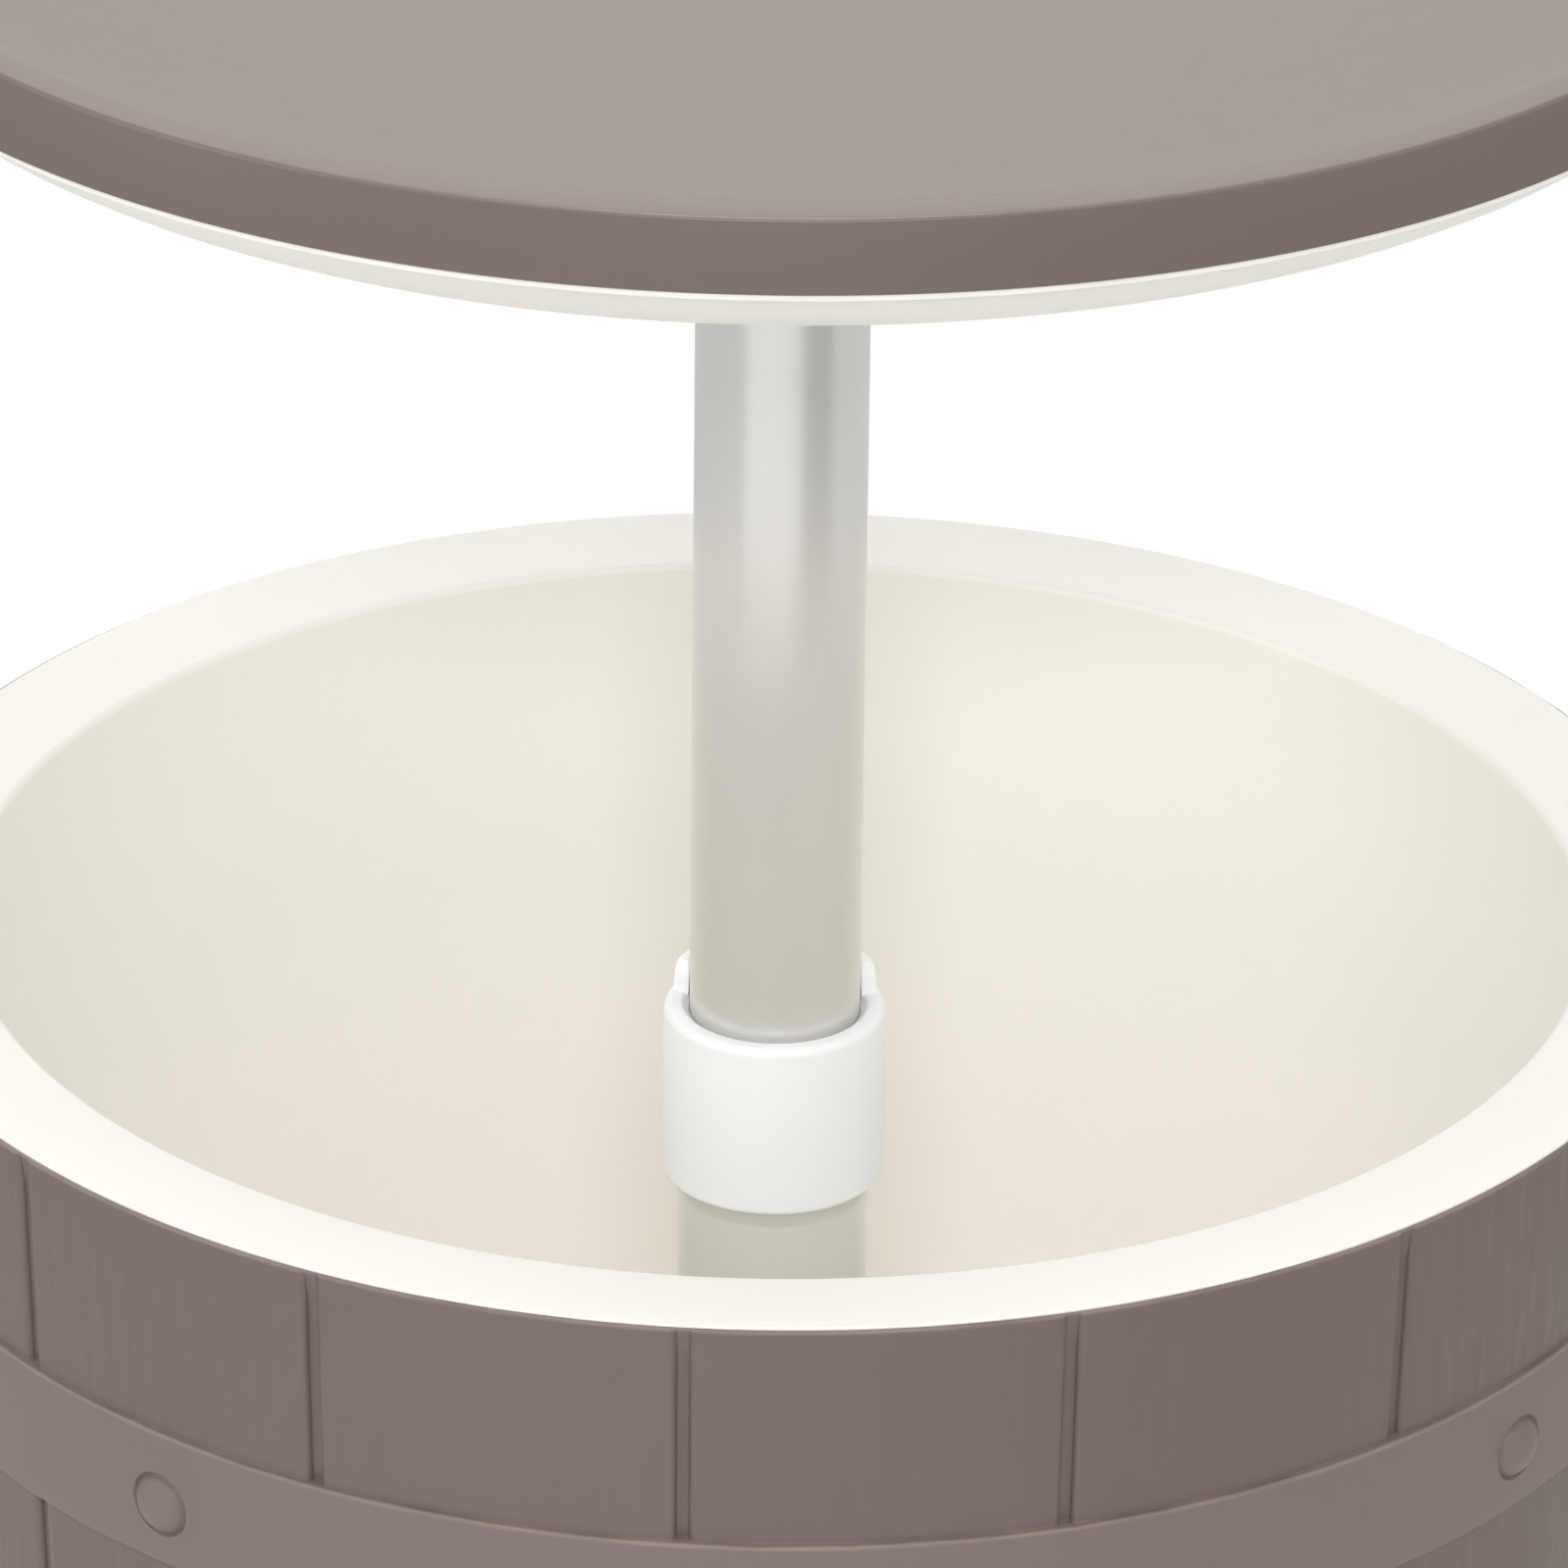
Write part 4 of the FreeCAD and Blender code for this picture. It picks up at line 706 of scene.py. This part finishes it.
def basin():
    """Liner with a rim that falls slightly inwards, a rounded floor and the drain's seat."""
    bm = bmesh.new()
    wall = rounded([
        (FLAT_RADIUS, FLOOR_TOP, 0),
        (FLOOR_RADIUS, FLOOR_TOP, FLOOR_ROUNDING),
        (MOUTH_RADIUS, MOUTH_HEIGHT, 0.0022),
        (RIM_RADIUS, RIM_HEIGHT, 0.0005),
        (RIM_RADIUS, SHELL_TOP, 0),
        (SKIRT_OUTSIDE, SHELL_TOP, 0),
        (SKIRT_OUTSIDE, SKIRT_LOW, 0),
        (SKIRT_INSIDE, SKIRT_LOW, 0),
        (SKIRT_INSIDE, 0.5350, 0),
        (MOUTH_RADIUS + BASIN_WALL, 0.5345, 0),
        (FLOOR_RADIUS + BASIN_WALL, FLOOR_UNDER, FLOOR_ROUNDING),
        (FLAT_RADIUS, FLOOR_UNDER, 0),
    ], steps=10)
    boss = [
        (BOSS_RADIUS, FLOOR_TOP),
        (BOSS_RADIUS, BOSS_TOP),
        (BOSS_BORE, BOSS_TOP),
        (BOSS_BORE, FLOOR_UNDER),
    ]
    seat = [
        (SEAT_RADIUS, FLOOR_TOP),
        (SEAT_RADIUS, SEAT_TOP),
        (DRAIN_BORE, SEAT_TOP),
        (DRAIN_BORE, SEAT_UNDER),
        (SEAT_OUTSIDE, SEAT_UNDER),
        (SEAT_OUTSIDE, FLOOR_UNDER),
    ]
    wall_top, wall_under = turn(bm, wall, False)
    boss_top, boss_under = turn(bm, boss, False)
    seat_top, seat_under = turn(bm, seat, False, middle=DRAIN_PLACE, segments=64)
    plate(bm, wall_top, boss_top, seat_top)
    plate(bm, wall_under, boss_under, seat_under)
    stand_for("cooler_liner_basin", bm, cream, "tub", "cooler_liner")


basin()


# Tabletop and sliding tube

RIM_INNER = 0.2366
STEP_RADIUS = 0.2336
STEP_HEIGHT = 0.8287
FIELD_RADIUS = 0.2150
TUBE_LENGTHS = 24


def tabletop():
    """Tabletop with a softly rounded corner and a shallow step inside its rim."""
    lathe("table_top_round", rounded([
        (0.0, FIELD_UNDER, 0),
        (0.2454, FIELD_UNDER, 0.0005),
        (LID_RADIUS - LID_WALL, LID_EDGE, 0.0003),
        (LID_RADIUS, LID_EDGE, 0.0002),
        (LID_TOP_RADIUS, LID_TOP, 0.0012),
        (RIM_INNER, LID_TOP, 0.0060),
        (STEP_RADIUS, STEP_HEIGHT, 0.0060),
        (FIELD_RADIUS, FIELD_TOP, 0),
        (0.0, FIELD_TOP, 0),
    ], steps=8), taupe_top, "tabletop", "table_top", segments=320)


def sliding_tube():
    """Sliding tube, built in short lengths."""
    levels = [TUBE_LOW + (TUBE_TOP - TUBE_LOW) * step / TUBE_LENGTHS for step in range(TUBE_LENGTHS + 1)]
    outside = [(TUBE_RADIUS, z) for z in levels]
    inside = [(TUBE_RADIUS - TUBE_WALL, z) for z in reversed(levels)]
    lathe("inner_tube_round", outside + inside, tube, "tabletop", "inner_tube")


tabletop()
sliding_tube()


# Camera: fitted to the photograph, which was taken from 26 degrees above with a long lens

CAMERA_TURN = math.radians(5.0)
CAMERA_AWAY = 2.339
CAMERA_RISE = 1.142
PHOTO_PIXELS = 1600
FOCAL_PIXELS = 10098.7
RIM_IMAGE = (-8.7, -103.6)
ROLL = 0.0122
SENSOR = 36.0


def make_camera():
    """Camera that sees the middle of the basin's rim at RIM_IMAGE, pixels from the picture's middle."""
    data = bpy.data.cameras.new("camera")
    data.sensor_width = SENSOR
    data.lens = SENSOR * FOCAL_PIXELS / PHOTO_PIXELS
    data.clip_end = 50.0
    camera = bpy.data.objects.new("camera", data)
    bpy.context.scene.collection.objects.link(camera)
    eye = Vector((CAMERA_AWAY * math.sin(CAMERA_TURN), -CAMERA_AWAY * math.cos(CAMERA_TURN),
                  RIM_HEIGHT + CAMERA_RISE))
    to_rim = (Vector((0, 0, RIM_HEIGHT)) - eye).normalized()
    across = (RIM_IMAGE[0] * math.cos(ROLL) - RIM_IMAGE[1] * math.sin(ROLL)) / FOCAL_PIXELS
    upwards = (RIM_IMAGE[0] * math.sin(ROLL) + RIM_IMAGE[1] * math.cos(ROLL)) / FOCAL_PIXELS
    heading = math.atan2(to_rim.y, to_rim.x) + math.atan(across)
    pitch = math.asin(to_rim.z) - math.atan(upwards)
    level = math.cos(pitch)
    forward = Vector((math.cos(heading) * level, math.sin(heading) * level, math.sin(pitch)))
    right = forward.cross(Vector((0, 0, 1))).normalized()
    up = right.cross(forward)
    turned_right = right * math.cos(ROLL) + up * math.sin(ROLL)
    turned_up = up * math.cos(ROLL) - right * math.sin(ROLL)
    camera.matrix_world = Matrix((
        (turned_right.x, turned_up.x, -forward.x, eye.x),
        (turned_right.y, turned_up.y, -forward.y, eye.y),
        (turned_right.z, turned_up.z, -forward.z, eye.z),
        (0, 0, 0, 1)))
    bpy.context.scene.camera = camera


# Stage and light

FLOOR_HALF = 5.0
FADE_START = 0.55
FADE_END = 1.05
CARD_INNER = 0.9
CARD_OUTER = 2.4
CARD_HEIGHT = 0.002
WHITE = (1.0, 1.0, 1.0, 1.0)

# Radiance of the studio dome near the horizon, in its bright band and overhead.
DOME_LOW = 0.60
DOME_BAND = 0.90
DOME_HIGH = 0.50


def stage_floor():
    """Pale floor that takes the shadow and fades to white for the camera."""
    bm = bmesh.new()
    bmesh.ops.create_grid(bm, x_segments=24, y_segments=24, size=FLOOR_HALF)
    floor = new_object("floor", bm)
    mat, shader, out = new_material("pale_floor")
    spot = place(mat)
    cloud = noise(mat, spot, scale=3.0)
    link(mat, mixed(mat, cloud, (0.86, 0.86, 0.86), (0.88, 0.88, 0.88)), shader.inputs["Base Color"])
    shader.inputs["Roughness"].default_value = 0.8
    edge = spread(mat, length_of(mat, spot), FADE_START, FADE_END, 0.0, 1.0)
    seen = add(mat, "ShaderNodeLightPath").outputs["Is Camera Ray"]
    glow = add(mat, "ShaderNodeEmission", Strength=1.0, Color=WHITE)
    mix = add(mat, "ShaderNodeMixShader")
    link(mat, maths(mat, "MULTIPLY", edge, seen), mix.inputs[0])
    link(mat, shader.outputs[0], mix.inputs[1])
    link(mat, glow.outputs[0], mix.inputs[2])
    link(mat, mix.outputs[0], out.inputs["Surface"])
    floor.data.materials.append(mat)


def floor_card(name, first, last, strength):
    """Glowing part of a ring on the floor that only reflections see, between two angles from the camera's
    side: a painted reflection of the given brightness.
    """
    bm = bmesh.new()
    steps = 16
    rows = []
    for step in range(steps + 1):
        angle = CAMERA_TURN - math.pi / 2 + math.radians(first + (last - first) * step / steps)
        rows.append([bm.verts.new((radius * math.cos(angle), radius * math.sin(angle), CARD_HEIGHT))
                     for radius in (CARD_INNER, CARD_OUTER)])
    for low, high in zip(rows, rows[1:]):
        bm.faces.new((low[0], low[1], high[1], high[0]))
    card = new_object(name, bm)
    mat = bpy.data.materials.new(name)
    mat.use_nodes = True
    mat.node_tree.nodes.clear()
    glow = add(mat, "ShaderNodeEmission", Strength=strength)
    out = add(mat, "ShaderNodeOutputMaterial")
    link(mat, glow.outputs[0], out.inputs["Surface"])
    card.data.materials.append(mat)
    card.visible_camera = False
    card.visible_diffuse = False
    card.visible_transmission = False
    card.visible_volume_scatter = False
    card.visible_shadow = False


def world_light():
    """White to the camera; to everything else a dome, brightest 14 to 35 degrees above the horizon."""
    world = bpy.data.worlds.new("studio")
    bpy.context.scene.world = world
    world.use_nodes = True
    world.node_tree.nodes.clear()
    out = add(world, "ShaderNodeOutputWorld")
    height = split(world, add(world, "ShaderNodeTexCoord").outputs["Generated"])["Z"]
    ramp = add(world, "ShaderNodeValToRGB")
    ramp.color_ramp.interpolation = "EASE"
    stops = ramp.color_ramp.elements
    stops[0].position = 0.10
    stops[0].color = (DOME_LOW, DOME_LOW, DOME_LOW, 1.0)
    stops[1].position = 0.75
    stops[1].color = (DOME_HIGH, DOME_HIGH, DOME_HIGH, 1.0)
    for position in (0.24, 0.58):
        stop = stops.new(position)
        stop.color = (DOME_BAND, DOME_BAND, DOME_BAND, 1.0)
    link(world, height, ramp.inputs["Fac"])
    dome = add(world, "ShaderNodeBackground")
    link(world, ramp.outputs["Color"], dome.inputs["Color"])
    white_back = add(world, "ShaderNodeBackground", Color=WHITE, Strength=1.0)
    mix = add(world, "ShaderNodeMixShader")
    link(world, add(world, "ShaderNodeLightPath").outputs["Is Camera Ray"], mix.inputs[0])
    link(world, dome.outputs[0], mix.inputs[1])
    link(world, white_back.outputs[0], mix.inputs[2])
    link(world, mix.outputs[0], out.inputs["Surface"])


def area_light(name, where, target, wide, high, power):
    """Soft box aimed at a point."""
    data = bpy.data.lights.new(name, "AREA")
    data.shape = "RECTANGLE"
    data.size = wide
    data.size_y = high
    data.energy = power
    lamp = bpy.data.objects.new(name, data)
    lamp.location = where
    lamp.rotation_euler = (Vector(target) - Vector(where)).to_track_quat("-Z", "Y").to_euler()
    bpy.context.scene.collection.objects.link(lamp)


stage_floor()
# Painted reflections: bright and dark bands of floor that only glossy rays see.
floor_card("left_card", -180.0, -48.0, strength=0.64)
floor_card("bright_card", -48.0, 8.0, strength=1.20)
floor_card("dark_card", 28.0, 70.0, strength=0.34)
floor_card("right_card", 70.0, 180.0, strength=0.75)
world_light()
make_camera()
area_light("key_left", (-1.9, -0.9, 1.6), (0, 0, 0.5), wide=1.4, high=1.8, power=10.0)
area_light("key_right", (2.0, -0.7, 1.5), (0, 0, 0.5), wide=1.4, high=1.8, power=2.0)
area_light("front_fill", (0.2, -2.3, 2.05), (0, 0, 0.45), wide=0.6, high=0.4, power=22.5)
area_light("back_light", (-0.2, 2.2, 1.75), (0, -0.1, 0.45), wide=1.2, high=0.7, power=4.3)
area_light("overhead", (0.0, -0.05, 2.6), (0, 0, 0.8), wide=0.6, high=0.6, power=22.0)
area_light("basin_light", (0.0, 0.0, 0.452), (0.0, 0.001, 0.0), wide=0.18, high=0.18, power=0.05)

view = bpy.context.scene.view_settings
view.view_transform = "Standard"
